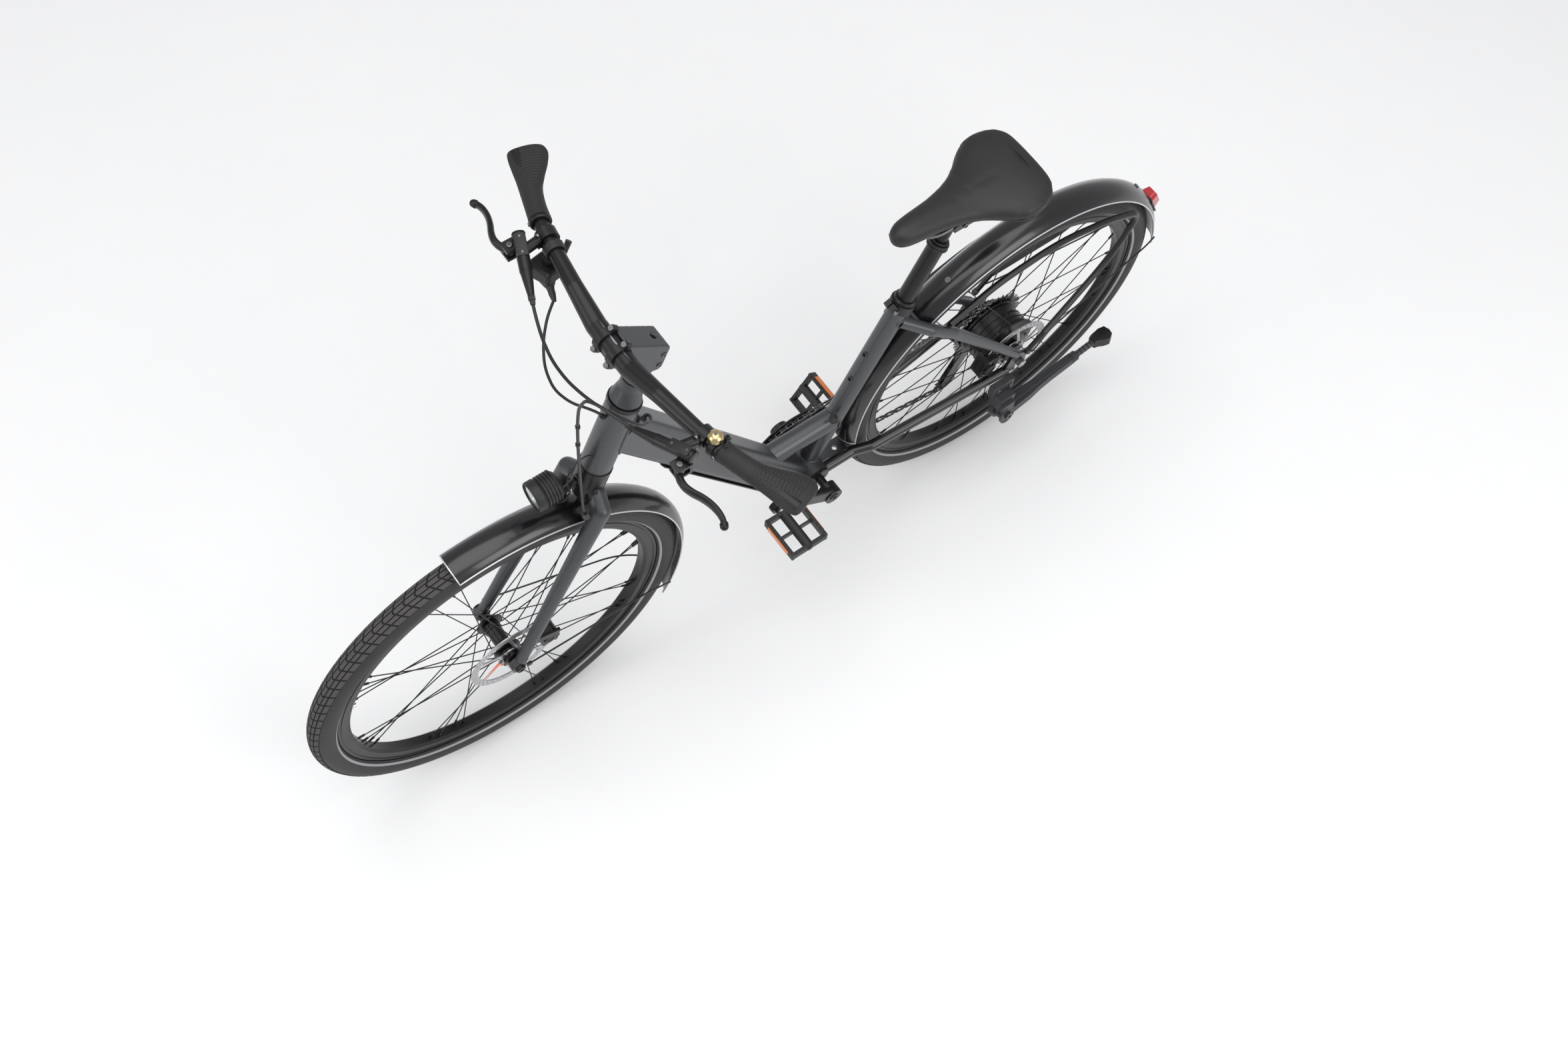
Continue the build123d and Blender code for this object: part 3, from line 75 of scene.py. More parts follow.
# the steering axis leans back, with its own forward and up directions
headAngle = math.radians(69)
steerUp = Vector((-math.cos(headAngle), 0, math.sin(headAngle)))
steerAhead = Vector((math.sin(headAngle), 0, math.cos(headAngle)))
steerFoot = frontCentre - steerAhead * 47 * mm
seatAngle = math.radians(68)
seatUp = Vector((-math.cos(seatAngle), 0, math.sin(seatAngle)))
seatAhead = Vector((math.sin(seatAngle), 0, math.cos(seatAngle)))
bracket = at(443, 0, 306)
downTubeLow, downTubeHigh = at(486, 0, 306), at(851, 0, 859)


def onFork(u, v, s):
    return steerFoot + (steerAhead * u + leftward * v + steerUp * s) * mm


def onSeat(along, out=0.0):
    return bracket + (seatUp * along + seatAhead * out) * mm


def around(centre, radius, turn, y):
    # the spot at an angle round a crosswise axle, y to the left of its middle
    return centre + Vector((radius * math.cos(turn), y, radius * math.sin(turn))) * mm


def newGroup(name, inputs, outputs):
    group = bpy.data.node_groups.new(name, "ShaderNodeTree")
    for label, kind, value in inputs:
        socket = group.interface.new_socket(label, in_out="INPUT", socket_type=kind)
        socket.default_value = value
    for label, kind in outputs:
        group.interface.new_socket(label, in_out="OUTPUT", socket_type=kind)
    inNode = group.nodes.new("NodeGroupInput")
    outNode = group.nodes.new("NodeGroupOutput")
    return group, inNode, outNode


def addNode(tree, kind, **settings):
    node = tree.nodes.new(kind)
    for label, value in settings.items():
        setattr(node, label, value)
    return node


def surfaceGrainGroup():
    # fine cast or sprayed texture, with slow patches of tone over it
    group, inNode, outNode = newGroup(
        "surfaceGrain",
        [("Color", "NodeSocketColor", (0.5, 0.5, 0.5, 1)), ("Scale", "NodeSocketFloat", 800.0),
         ("Tone Change", "NodeSocketFloat", 0.1), ("Roughness", "NodeSocketFloat", 0.5)],
        [("Color", "NodeSocketColor"), ("Roughness", "NodeSocketFloat"), ("Height", "NodeSocketFloat")])
    links = group.links
    place = addNode(group, "ShaderNodeTexCoord")
    fine = addNode(group, "ShaderNodeTexNoise")
    fine.inputs["Detail"].default_value = 4
    slow = addNode(group, "ShaderNodeTexNoise")
    slow.inputs["Scale"].default_value = 9
    slow.inputs["Detail"].default_value = 5
    spread = addNode(group, "ShaderNodeMapRange")
    spread.inputs["To Min"].default_value = -0.5
    spread.inputs["To Max"].default_value = 0.5
    tone = addNode(group, "ShaderNodeMath", operation="MULTIPLY_ADD")
    tone.inputs[2].default_value = 1.0
    colour = addNode(group, "ShaderNodeVectorMath", operation="SCALE")
    rough = addNode(group, "ShaderNodeMath", operation="MULTIPLY_ADD")
    rough.inputs[1].default_value = 0.12
    links.new(place.outputs["Object"], fine.inputs["Vector"])
    links.new(place.outputs["Object"], slow.inputs["Vector"])
    links.new(inNode.outputs["Scale"], fine.inputs["Scale"])
    links.new(slow.outputs["Fac"], spread.inputs["Value"])
    links.new(spread.outputs["Result"], tone.inputs[0])
    links.new(inNode.outputs["Tone Change"], tone.inputs[1])
    links.new(inNode.outputs["Color"], colour.inputs[0])
    links.new(tone.outputs[0], colour.inputs["Scale"])
    links.new(spread.outputs["Result"], rough.inputs[0])
    links.new(inNode.outputs["Roughness"], rough.inputs[2])
    links.new(colour.outputs[0], outNode.inputs["Color"])
    links.new(rough.outputs[0], outNode.inputs["Roughness"])
    links.new(fine.outputs["Fac"], outNode.inputs["Height"])
    return group


def tintGroup(name, tintLabel, tint, amount, facingUp, maskStart, maskEnd, noiseScale, noiseDetail):
    # mixes in a tint where a mask, broken up by noise, is high
    group, inNode, outNode = newGroup(
        name,
        [("Color", "NodeSocketColor", (0.5, 0.5, 0.5, 1)), (tintLabel, "NodeSocketColor", tint),
         ("Amount", "NodeSocketFloat", amount)],
        [("Color", "NodeSocketColor")])
    links = group.links
    shape = addNode(group, "ShaderNodeNewGeometry")
    mask = addNode(group, "ShaderNodeMapRange")
    mask.inputs["From Min"].default_value = maskStart
    mask.inputs["From Max"].default_value = maskEnd
    source = shape.outputs["Pointiness"]
    if facingUp:
        split = addNode(group, "ShaderNodeSeparateXYZ")
        links.new(shape.outputs["Normal"], split.inputs[0])
        source = split.outputs["Z"]
    place = addNode(group, "ShaderNodeTexCoord")
    noise = addNode(group, "ShaderNodeTexNoise")
    noise.inputs["Scale"].default_value = noiseScale
    noise.inputs["Detail"].default_value = noiseDetail
    broken = addNode(group, "ShaderNodeMath", operation="MULTIPLY")
    share = addNode(group, "ShaderNodeMath", operation="MULTIPLY")
    mix = addNode(group, "ShaderNodeMix", data_type="RGBA")
    links.new(source, mask.inputs["Value"])
    links.new(place.outputs["Object"], noise.inputs["Vector"])
    links.new(mask.outputs["Result"], broken.inputs[0])
    links.new(noise.outputs["Fac"], broken.inputs[1])
    links.new(broken.outputs[0], share.inputs[0])
    links.new(inNode.outputs["Amount"], share.inputs[1])
    links.new(share.outputs[0], mix.inputs["Factor"])
    links.new(inNode.outputs["Color"], mix.inputs["A"])
    links.new(inNode.outputs[tintLabel], mix.inputs["B"])
    links.new(mix.outputs["Result"], outNode.inputs["Color"])
    return group


def pebbleGroup():
    # the small cells of moulded vinyl and rubber
    group, inNode, outNode = newGroup(
        "pebbledSkin", [("Scale", "NodeSocketFloat", 900.0)], [("Height", "NodeSocketFloat")])
    place = addNode(group, "ShaderNodeTexCoord")
    cells = addNode(group, "ShaderNodeTexVoronoi", feature="SMOOTH_F1")
    group.links.new(place.outputs["Object"], cells.inputs["Vector"])
    group.links.new(inNode.outputs["Scale"], cells.inputs["Scale"])
    group.links.new(cells.outputs["Distance"], outNode.inputs["Height"])
    return group


grainGroup = surfaceGrainGroup()
pebbles = pebbleGroup()
# a paler tone on the sharpest edges, and pale dust on faces that look up
wearGroup = tintGroup("edgeWear", "Worn Color", (0.5, 0.5, 0.5, 1), 0.3, False, 0.53, 0.66, 160, 5)
settledGroup = tintGroup("settledDust", "Dust Color", (0.35, 0.33, 0.30, 1), 0.1, True, 0.1, 1.0, 38, 8)

# colour, roughness and metallic of every finish, with how strong its grain, wear and dust are
plainFinish = dict(metal=0.0, coat=0.0, grain=1200, wear=0.0, dust=0.0)
finishes = {
    "framePaint": dict(color=(0.078, 0.080, 0.085), rough=0.36, metal=0.65, grain=2600, bump=0.05,
                       wear=0.10, dust=0.10),
    "forkPaint": dict(color=(0.070, 0.072, 0.077), rough=0.36, metal=0.65, grain=2600, bump=0.05,
                      wear=0.10, dust=0.10),
    "stayBlack": dict(color=(0.007, 0.007, 0.008), rough=0.30, coat=0.3, grain=1800, bump=0.04,
                      wear=0.12, dust=0.12),
    "rackPaint": dict(color=(0.006, 0.006, 0.007), rough=0.34, grain=2200, bump=0.08, wear=0.15, dust=0.12),
    "standPaint": dict(color=(0.030, 0.031, 0.034), rough=0.42, metal=0.35, grain=1500, bump=0.10,
                       wear=0.30, dust=0.18),
    "anodised": dict(color=(0.007, 0.007, 0.008), rough=0.32, metal=0.35, grain=2400, bump=0.04,
                     wear=0.22, dust=0.06),
    "barBlack": dict(color=(0.005, 0.005, 0.006), rough=0.36, metal=0.2, grain=2400, bump=0.03,
                     wear=0.06, dust=0.06),
    "mouldedBlack": dict(color=(0.007, 0.007, 0.008), rough=0.50, grain=1300, bump=0.12, wear=0.15,
                         dust=0.10),
    "fenderGloss": dict(color=(0.004, 0.004, 0.005), rough=0.26, coat=0.35, grain=400, bump=0.01, dust=0.06),
    "edgeSilver": dict(color=(0.62, 0.63, 0.65), rough=0.35, metal=0.5, grain=900, bump=0.02),
    "rimBlack": dict(color=(0.009, 0.009, 0.010), rough=0.36, metal=0.5, grain=1800, bump=0.04,
                     wear=0.15, dust=0.08),
    "spokeBlack": dict(color=(0.012, 0.012, 0.013), rough=0.32, metal=0.5, grain=900, bump=0.0),
    "bareSteel": dict(color=(0.42, 0.42, 0.43), rough=0.28, metal=1.0, grain=1600, bump=0.05, dust=0.05),
    "darkSteel": dict(color=(0.16, 0.16, 0.165), rough=0.34, metal=1.0, grain=1500, bump=0.06, wear=0.2,
                      dust=0.06),
    "rotorSteel": dict(color=(0.46, 0.46, 0.47), rough=0.28, metal=1.0, grain=2200, bump=0.06),
    "brass": dict(color=(0.60, 0.47, 0.25), rough=0.24, metal=1.0, grain=900, bump=0.02, dust=0.04),
    "chrome": dict(color=(0.75, 0.75, 0.76), rough=0.12, metal=1.0, grain=600, bump=0.0),
    "hoseRubber": dict(color=(0.005, 0.005, 0.006), rough=0.40, grain=1500, bump=0.05, dust=0.05),
    "gripRubber": dict(color=(0.009, 0.009, 0.010), rough=0.62, pebble=1500, bump=0.20, dust=0.10),
    "treadRubber": dict(color=(0.058, 0.054, 0.053), rough=0.80, grain=1400, bump=0.30, dust=0.45),
    "grooveRubber": dict(color=(0.010, 0.010, 0.010), rough=0.85, grain=1300, bump=0.1, dust=0.1),
    "wallRubber": dict(color=(0.022, 0.021, 0.022), rough=0.66, grain=1300, bump=0.16, dust=0.25),
    "stripeGrey": dict(color=(0.30, 0.31, 0.32), rough=0.42, metal=0.25, grain=1200, bump=0.04, dust=0.10),
    "saddleVinyl": dict(color=(0.008, 0.008, 0.009), rough=0.50, pebble=1100, bump=0.16, dust=0.10),
    "saddleTrim": dict(color=(0.005, 0.005, 0.006), rough=0.30, grain=1400, bump=0.06, dust=0.05),
    "amberLens": dict(color=(0.70, 0.17, 0.012), rough=0.24, coat=0.5, grain=500, bump=0.10),
    "redLens": dict(color=(0.42, 0.010, 0.014), rough=0.14, coat=0.6, grain=500, bump=0.08),
    "markOrange": dict(color=(0.80, 0.14, 0.03), rough=0.45, grain=900, bump=0.02, wear=0.1),
    "lampWhite": dict(color=(0.55, 0.56, 0.56), rough=0.15, metal=0.9, grain=500, bump=0.0),
}


def makeFinish(name, changes):
    spec = {**plainFinish, **changes}
    material = bpy.data.materials.new(name)
    material.use_nodes = True
    tree = material.node_tree
    shader = tree.nodes["Principled BSDF"]
    shader.inputs["Metallic"].default_value = spec["metal"]
    shader.inputs["Coat Weight"].default_value = spec["coat"]
    shader.inputs["Coat Roughness"].default_value = 0.08
    grain = addNode(tree, "ShaderNodeGroup", node_tree=grainGroup)
    grain.inputs["Color"].default_value = (*spec["color"], 1)
    grain.inputs["Scale"].default_value = spec["grain"]
    grain.inputs["Tone Change"].default_value = 0.16
    grain.inputs["Roughness"].default_value = spec["rough"]
    wear = addNode(tree, "ShaderNodeGroup", node_tree=wearGroup)
    wear.inputs["Worn Color"].default_value = (*[min(1, c * 2.0 + 0.05) for c in spec["color"]], 1)
    wear.inputs["Amount"].default_value = spec["wear"]
    dust = addNode(tree, "ShaderNodeGroup", node_tree=settledGroup)
    dust.inputs["Amount"].default_value = spec["dust"] * 0.14
    tree.links.new(grain.outputs["Color"], wear.inputs["Color"])
    tree.links.new(wear.outputs["Color"], dust.inputs["Color"])
    tree.links.new(dust.outputs["Color"], shader.inputs["Base Color"])
    tree.links.new(grain.outputs["Roughness"], shader.inputs["Roughness"])
    if spec["bump"]:
        bump = addNode(tree, "ShaderNodeBump")
        bump.inputs["Strength"].default_value = min(1.0, spec["bump"] * 2)
        bump.inputs["Distance"].default_value = 0.0006
        height = grain.outputs["Height"]
        if "pebble" in spec:
            skin = addNode(tree, "ShaderNodeGroup", node_tree=pebbles)
            skin.inputs["Scale"].default_value = spec["pebble"]
            height = skin.outputs["Height"]
        tree.links.new(height, bump.inputs["Height"])
        tree.links.new(bump.outputs["Normal"], shader.inputs["Normal"])
    return material


materials = {name: makeFinish(name, changes) for name, changes in finishes.items()}


def makeGlass():
    material = bpy.data.materials.new("clearLens")
    material.use_nodes = True
    shader = material.node_tree.nodes["Principled BSDF"]
    shader.inputs["Base Color"].default_value = (0.9, 0.92, 0.93, 1)
    shader.inputs["Roughness"].default_value = 0.04
    shader.inputs["Transmission Weight"].default_value = 0.85
    shader.inputs["IOR"].default_value = 1.45
    return material


materials["clearLens"] = makeGlass()
print("finishes made:", len(materials))


def sideways(direction):
    base = upward if abs(direction.z) < 0.9 else forward
    first = direction.cross(base).normalized()
    return first, direction.cross(first).normalized()


def ringFaces(rings, width, closed=False, capped=True):
    # quads between rings of corners, with the two end rings filled in
    faces = []
    for i in range(rings if closed else rings - 1):
        j = (i + 1) % rings
        for k in range(width):
            n = (k + 1) % width
            faces.append((i * width + k, i * width + n, j * width + n, j * width + k))
    if capped and not closed:
        faces.append(tuple(range(width)))
        faces.append(tuple((rings - 1) * width + k for k in range(width)))
    return faces


def lathe(rows, origin, direction, steps=40, sector=None):
    # rows are (distance along, radius), in mm
    direction = direction.normalized()
    first, second = sideways(direction)
    verts = []
    for along, radius in rows:
        for i in range(steps):
            turn = 2 * math.pi * i / steps
            r = radius * sector(turn) if sector else radius
            spot = origin + direction * along * mm
            verts.append(spot + (first * math.cos(turn) + second * math.sin(turn)) * r * mm)
    return verts, ringFaces(len(rows), steps, capped=rows[0] != rows[-1])


def sweep(points, section, closed=False, twist=None):
    # section is a list of (a, b) in mm, or a function of the share along the way that gives one
    count = len(points)
    verts = []
    side = None
    width = 0
    for i, point in enumerate(points):
        after = points[(i + 1) % count] if closed or i < count - 1 else point
        before = points[i - 1] if closed or i else point
        heading = (after - before).normalized()
        if side is None:
            side = twist.copy() if twist else sideways(heading)[0]
        side = (side - heading * side.dot(heading)).normalized()
        other = heading.cross(side)
        outline = section(i / max(1, count - 1)) if callable(section) else section
        width = len(outline)
        verts += [point + (side * a + other * b) * mm for a, b in outline]
    return verts, ringFaces(count, width, closed)


def disc(radius, steps=14, squeeze=1.0):
    return [(radius * math.cos(2 * math.pi * i / steps),
             radius * squeeze * math.sin(2 * math.pi * i / steps))
            for i in range(steps)]


def smoothPath(points, per=8):
    full = [points[0]] + list(points) + [points[-1]]
    path = []
    for i in range(1, len(full) - 2):
        a, b, c, d = full[i - 1:i + 3]
        for k in range(per):
            t = k / per
            path.append(0.5 * ((2 * b) + (c - a) * t + (2 * a - 5 * b + 4 * c - d) * t**2
                               + (3 * b - a - 3 * c + d) * t**3))
    path.append(points[-1])
    return path


def roundedRoute(points, per=7):
    # straight runs with each corner rounded over 45 % of its shorter run
    path = [points[0]]
    for before, corner, after in zip(points, points[1:], points[2:]):
        cut = 0.45 * min((corner - before).length, (after - corner).length)
        start = corner + (before - corner).normalized() * cut
        end = corner + (after - corner).normalized() * cut
        for k in range(per + 1):
            t = k / per
            path.append(start * (1 - t)**2 + corner * 2 * t * (1 - t) + end * t**2)
    path.append(points[-1])
    return path


def plate(outline, thickness, origin, first, second, bevel=0.0):
    # a flat plate from an outline of (a, b) in mm, centred on its plane
    normal = first.cross(second).normalized()
    half = thickness / 2
    count = len(outline)
    cx = sum(a for a, b in outline) / count
    cy = sum(b for a, b in outline) / count
    layers = [(-half, 1 - bevel), (-half + bevel * 6, 1), (half - bevel * 6, 1), (half, 1 - bevel)]
    if not bevel:
        layers = [(-half, 1), (half, 1)]
    verts = []
    for offset, shrink in layers:
        for a, b in outline:
            a, b = cx + (a - cx) * shrink, cy + (b - cy) * shrink
            verts.append(origin + (first * a + second * b + normal * offset) * mm)
    return verts, ringFaces(len(layers), count)


def hexBolt(origin, direction, radius, height):
    # a socket-head screw with a six-sided recess
    steps = 24
    head = lathe([(-0.4, radius), (height * 0.8, radius), (height, radius * 0.84), (height, radius * 0.62)],
                 origin, direction, steps)
    faces = head[1][:-2]

    def sixSided(turn):
        return 1 / math.cos((turn % (math.pi / 3)) - math.pi / 6)
    rows = [(height, radius * 0.62), (height - 0.05, radius * 0.5), (height * 0.35, radius * 0.5),
            (height * 0.35, 0.01)]
    pocket = lathe(rows, origin, direction, steps)
    base = len(head[0])
    shaped = []
    first, second = sideways(direction.normalized())
    for index, vert in enumerate(pocket[0]):
        row, step = divmod(index, steps)
        if row in (1, 2):
            turn = 2 * math.pi * step / steps
            along = rows[row][0]
            spot = origin + direction.normalized() * along * mm
            reach = radius * 0.46 * sixSided(turn)
            vert = spot + (first * math.cos(turn) + second * math.sin(turn)) * reach * mm
        shaped.append(vert)
    faces = faces + [tuple(base + i for i in face) for face in pocket[1][:-2]] + [tuple(range(steps))]
    faces.append(tuple(base + 3 * steps + i for i in range(steps)))
    return head[0] + shaped, faces


def linkPiece(name, data):
    piece = bpy.data.objects.new(name, data)
    bpy.context.scene.collection.objects.link(piece)
    return piece


def faceOutward(mesh, weld=0.0):
    # turns the faces outward, after joining corners closer than weld
    shape = bmesh.new()
    shape.from_mesh(mesh)
    if weld:
        bmesh.ops.remove_doubles(shape, verts=shape.verts, dist=weld)
    bmesh.ops.recalc_face_normals(shape, faces=shape.faces)
    shape.to_mesh(mesh)
    shape.free()


def setAll(mesh, label, value):
    mesh.polygons.foreach_set(label, [value] * len(mesh.polygons))


def addPiece(name, parts, body, stands=(), angle=34, blendTo=None):
    # parts are (verts, faces, finish name); the first finish fills slot 0
    verts, faces, marks, used = [], [], [], []
    for (partVerts, partFaces), finish in parts:
        base = len(verts)
        verts += [tuple(v) for v in partVerts]
        faces += [tuple(base + i for i in face) for face in partFaces]
        if finish not in used:
            used.append(finish)
        marks += [used.index(finish)] * len(partFaces)
    mesh = bpy.data.meshes.new(name)
    mesh.from_pydata(verts, [], faces)
    for finish in used:
        mesh.materials.append(materials[finish])
    mesh.polygons.foreach_set("material_index", marks)
    faceOutward(mesh, 1e-6)
    setAll(mesh, "use_smooth", True)
    mesh.set_sharp_from_angle(angle=math.radians(angle))
    piece = linkPiece(name, mesh)
    if stands:
        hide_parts(*stands)
    if blendTo:
        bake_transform(piece)
    else:
        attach(piece, body)
    return piece


nodesOf = {
    "framePaint": ["main_frame", "down_tube", "rear_stays", "stem"],
    "mouldedBlack": ["battery_pack", "jockey_wheel_guide", "jockey_wheel_tension", "shifter_body",
                     "shift_lever", "headlight", "pedal_left", "pedal_right"],
    "anodised": ["frame_bearings", "rear_caliper", "front_caliper", "front_axle", "derailleur_body",
                 "stem_faceplate", "brake_body_left", "brake_body_right", "brake_lever_left",
                 "brake_lever_right", "bell_striker", "front_hub", "hub_motor", "chainring", "crank_left",
                 "crank_right", "seatpost_lower", "seatpost_upper"],
    "darkSteel": ["frame_fittings", "chain", "derailleur_cage", "cassette", "saddle_rails"],
    "fenderGloss": ["rear_fender", "front_fender"],
    "rackPaint": ["rear_carrier", "front_brackets"],
    "redLens": ["rear_light"],
    "standPaint": ["kickstand_bracket", "kickstand_leg"],
    "bareSteel": ["rear_axle"],
    "hoseRubber": ["rear_brake_hose", "front_brake_hose", "control_cables"],
    "forkPaint": ["fork"],
    "barBlack": ["handlebar"],
    "gripRubber": ["grip_left", "grip_right"],
    "brass": ["bell"],
    "wallRubber": ["front_tyre", "rear_tyre"],
    "rimBlack": ["front_rim", "rear_rim"],
    "spokeBlack": ["front_spokes", "rear_spokes"],
    "rotorSteel": ["front_rotor", "rear_rotor"],
    "saddleVinyl": ["saddle"],
}
for finish, names in nodesOf.items():
    for data in (nodes[name].data for name in names):
        data.materials.clear()
        data.materials.append(materials[finish])
        setAll(data, "material_index", 0)


def islandsOf(data):
    # groups of faces that share corners
    owner = list(range(len(data.vertices)))

    def find(i):
        while owner[i] != i:
            owner[i] = owner[owner[i]]
            i = owner[i]
        return i
    spots = {}
    for vert in data.vertices:
        key = tuple(round(c, 6) for c in vert.co)
        if key in spots:
            owner[find(vert.index)] = find(spots[key])
        spots[key] = vert.index
    for edge in data.edges:
        owner[find(edge.vertices[0])] = find(edge.vertices[1])
    found = {}
    for face in data.polygons:
        found.setdefault(find(face.vertices[0]), []).append(face)
    return list(found.values())


def paintIslands(node, rule):
    # gives whole solids of a node another finish; rule takes a solid's lowest and highest corner
    data = nodes[node].data
    for faces in islandsOf(data):
        spots = [data.vertices[i].co for face in faces for i in face.vertices]
        low = Vector([min(s[k] for s in spots) for k in range(3)])
        high = Vector([max(s[k] for s in spots) for k in range(3)])
        finish = rule(low, high)
        if finish:
            if materials[finish].name not in data.materials:
                data.materials.append(materials[finish])
            index = list(data.materials).index(materials[finish])
            for face in faces:
                face.material_index = index


def paintFaces(node, finish, rule):
    # gives the faces that rule picks, by their middles, another finish
    data = nodes[node].data
    data.materials.append(materials[finish])
    for face in data.polygons:
        if rule(face.center, face.normal):
            face.material_index = len(data.materials) - 1


paintIslands("rear_stays", lambda low, high: "stayBlack" if high.z < 0.42 else None)
paintIslands("kickstand_leg", lambda low, high: "mouldedBlack" if high.x - low.x < 0.06 else None)
paintIslands("front_rim", lambda low, high: "chrome" if (high - low).length < 0.1 else None)
paintIslands("rear_rim", lambda low, high: "chrome" if (high - low).length < 0.1 else None)
paintIslands("frame_fittings", lambda low,
             high: "mouldedBlack" if (high - low).length > 0.05 or high.z < 0.5 else None)
paintIslands("stem_faceplate", lambda low, high: "darkSteel" if (high - low).length < 0.03 else None)
paintIslands("crank_left", lambda low, high: "bareSteel" if high.x - low.x < 0.03 else None)
paintIslands("crank_right", lambda low, high: "bareSteel" if high.x - low.x < 0.03 else None)
paintFaces("handlebar", "bareSteel", lambda spot, normal: abs(spot.y) < 0.010)
paintFaces("fork", "anodised", lambda spot, normal: abs(spot.y) < 0.030 and spot.z > onFork(0, 0, 398).z)
paintFaces("front_rotor", "markOrange", lambda spot, normal: (spot - at(wheelbase + 30, 38.5,
                                                                        axleHeight - 14)).length < 0.012)
for data in (node.data for node in nodes.values()):
    setAll(data, "use_smooth", True)
    data.set_sharp_from_angle(angle=math.radians(28))
print("CAD nodes painted:", len(nodes))

tyre = dict(centreRadius=336.0, tube=25.0, groove=1.7, pitches=102, slant=0.75)
# across the tread: degrees from the crown, and whether the spot is on a block (1) or in a groove (0)
treadRows = [(0, 1), (8, 1), (9, 0), (11.5, 0), (12.5, 1), (19, 1), (25, 1), (26, 0), (28.5, 0), (29.5, 1),
             (38, 1), (46, 1), (49, 0), (53, 0)]
wallRows = [(60, 0), (70, 0), (80, 0), (90, 0), (100, 0), (108, 0), (116, 0), (122, 0), (124, 0), (134, 0),
            (136, 0), (145, 0)]
pitchSteps = [(0.0, 0), (0.10, 0), (0.13, 1), (0.55, 1), (0.97, 1)]


def makeTyre(axle, name, body, node):
    rows = [(-a, on) for a, on in reversed(treadRows[1:] + wallRows)] + treadRows + wallRows
    steps = [(p, share, top) for p in range(tyre["pitches"]) for share, top in pitchSteps]
    verts, faces, marks = [], [], []
    for p, share, top in steps:
        for degreesOut, on in rows:
            across = math.radians(degreesOut)
            shift = tyre["slant"] * min(1, abs(degreesOut) / 50)
            turn = 2 * math.pi * (p + share + shift) / tyre["pitches"]
            block = on and top
            wall = abs(degreesOut) > 54
            r = tyre["tube"] - (0.0 if block else (0.9 if wall else tyre["groove"]))
            if 122 < abs(degreesOut) < 135:
                r += 0.35
            out = tyre["centreRadius"] + r * math.cos(across)
            verts.append(around(axle, out, turn, r * math.sin(across)))
    width = len(rows)
    for i in range(len(steps)):
        j = (i + 1) % len(steps)
        for k in range(width - 1):
            faces.append((i * width + k, i * width + k + 1, j * width + k + 1, j * width + k))
            a = abs(rows[k][0] + rows[k + 1][0]) / 2
            tops = steps[i][2] and steps[j][2] and rows[k][1] and rows[k + 1][1]
            tread = "treadRubber" if tops else "grooveRubber"
            marks.append("stripeGrey" if 124 < a < 134 else (tread if a < 50 else "wallRubber"))
    # the casing's inside, which shows where the rim ends
    inner = len(verts)
    ring = 120
    lip = [(-145, 24.1), (-145, 21.4), (-100, 21.4), (100, 21.4), (145, 21.4), (145, 24.1)]
    for i in range(ring):
        turn = 2 * math.pi * i / ring
        for degreesOut, r in lip:
            across = math.radians(degreesOut)
            out = tyre["centreRadius"] + r * math.cos(across)
            verts.append(around(axle, out, turn, r * math.sin(across)))
    for i in range(ring):
        j = (i + 1) % ring
        for k in range(len(lip) - 1):
            if k == 2:
                continue
            faces.append((inner + i * 6 + k, inner + i * 6 + k + 1, inner + j * 6 + k + 1,
                          inner + j * 6 + k))
            marks.append("wallRubber")
    grouped = {}
    for face, finish in zip(faces, marks):
        grouped.setdefault(finish, []).append(face)
    mesh = bpy.data.meshes.new(name)
    mesh.from_pydata([tuple(v) for v in verts], [], [f for group in grouped.values() for f in group])
    for finish in grouped:
        mesh.materials.append(materials[finish])
    mesh.polygons.foreach_set("material_index", [i for i, g in enumerate(grouped.values()) for f in g])
    setAll(mesh, "use_smooth", True)
    mesh.set_sharp_from_angle(angle=math.radians(30))
    piece = linkPiece(name, mesh)
    faceOutward(mesh)
    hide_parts(node)
    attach(piece, body)
    return piece


makeTyre(frontCentre, "frontTyre", "front_wheel", "front_tyre")
makeTyre(rearCentre, "rearTyre", "rear_wheel", "rear_tyre")
print("tyres made")

fender = dict(crown=375.0, edge=358.0, half=30.0, lineRadius=1.3, rearCentre=-3.4)


def fenderTrim(name, centreX, start, end, body):
    centre = Vector(((centreX + rearX) * mm, 0, axleZ * mm))
    outline = []
    steps = 90
    for side in (1, -1):
        for i in range(steps + 1):
            share = i / steps if side > 0 else 1 - i / steps
            turn = math.radians(start + (end - start) * share)
            radius = fender["edge"] + 0.4
            outline.append(around(centre, radius, turn, side * fender["half"]))
        # the line also runs round the end of the fender
        last = math.radians(end if side > 0 else start)
        for i in range(1, 12):
            share = i / 12
            y = fender["half"] * side * (1 - 2 * share)
            depth = fender["crown"] - fender["edge"]
            arc = (fender["half"]**2 + depth**2) / (2 * depth)
            radius = fender["crown"] - arc + math.sqrt(arc**2 - y**2)
            outline.append(around(centre, radius - 1, last, y))
    line = sweep(outline, disc(fender["lineRadius"], 8), closed=True)
    return addPiece(name, [(line, "edgeSilver")], body)


fenderTrim("rearFenderLine", fender["rearCentre"], -5.0, 172.0, "frame")
fenderTrim("frontFenderLine", wheelbase, 81.0, 207.0, "steering")
print("fender trims made")

saddle = dict(voxel=0.005, pressure=4.0, frames=20, mostMove=0.004, fill=0.55)
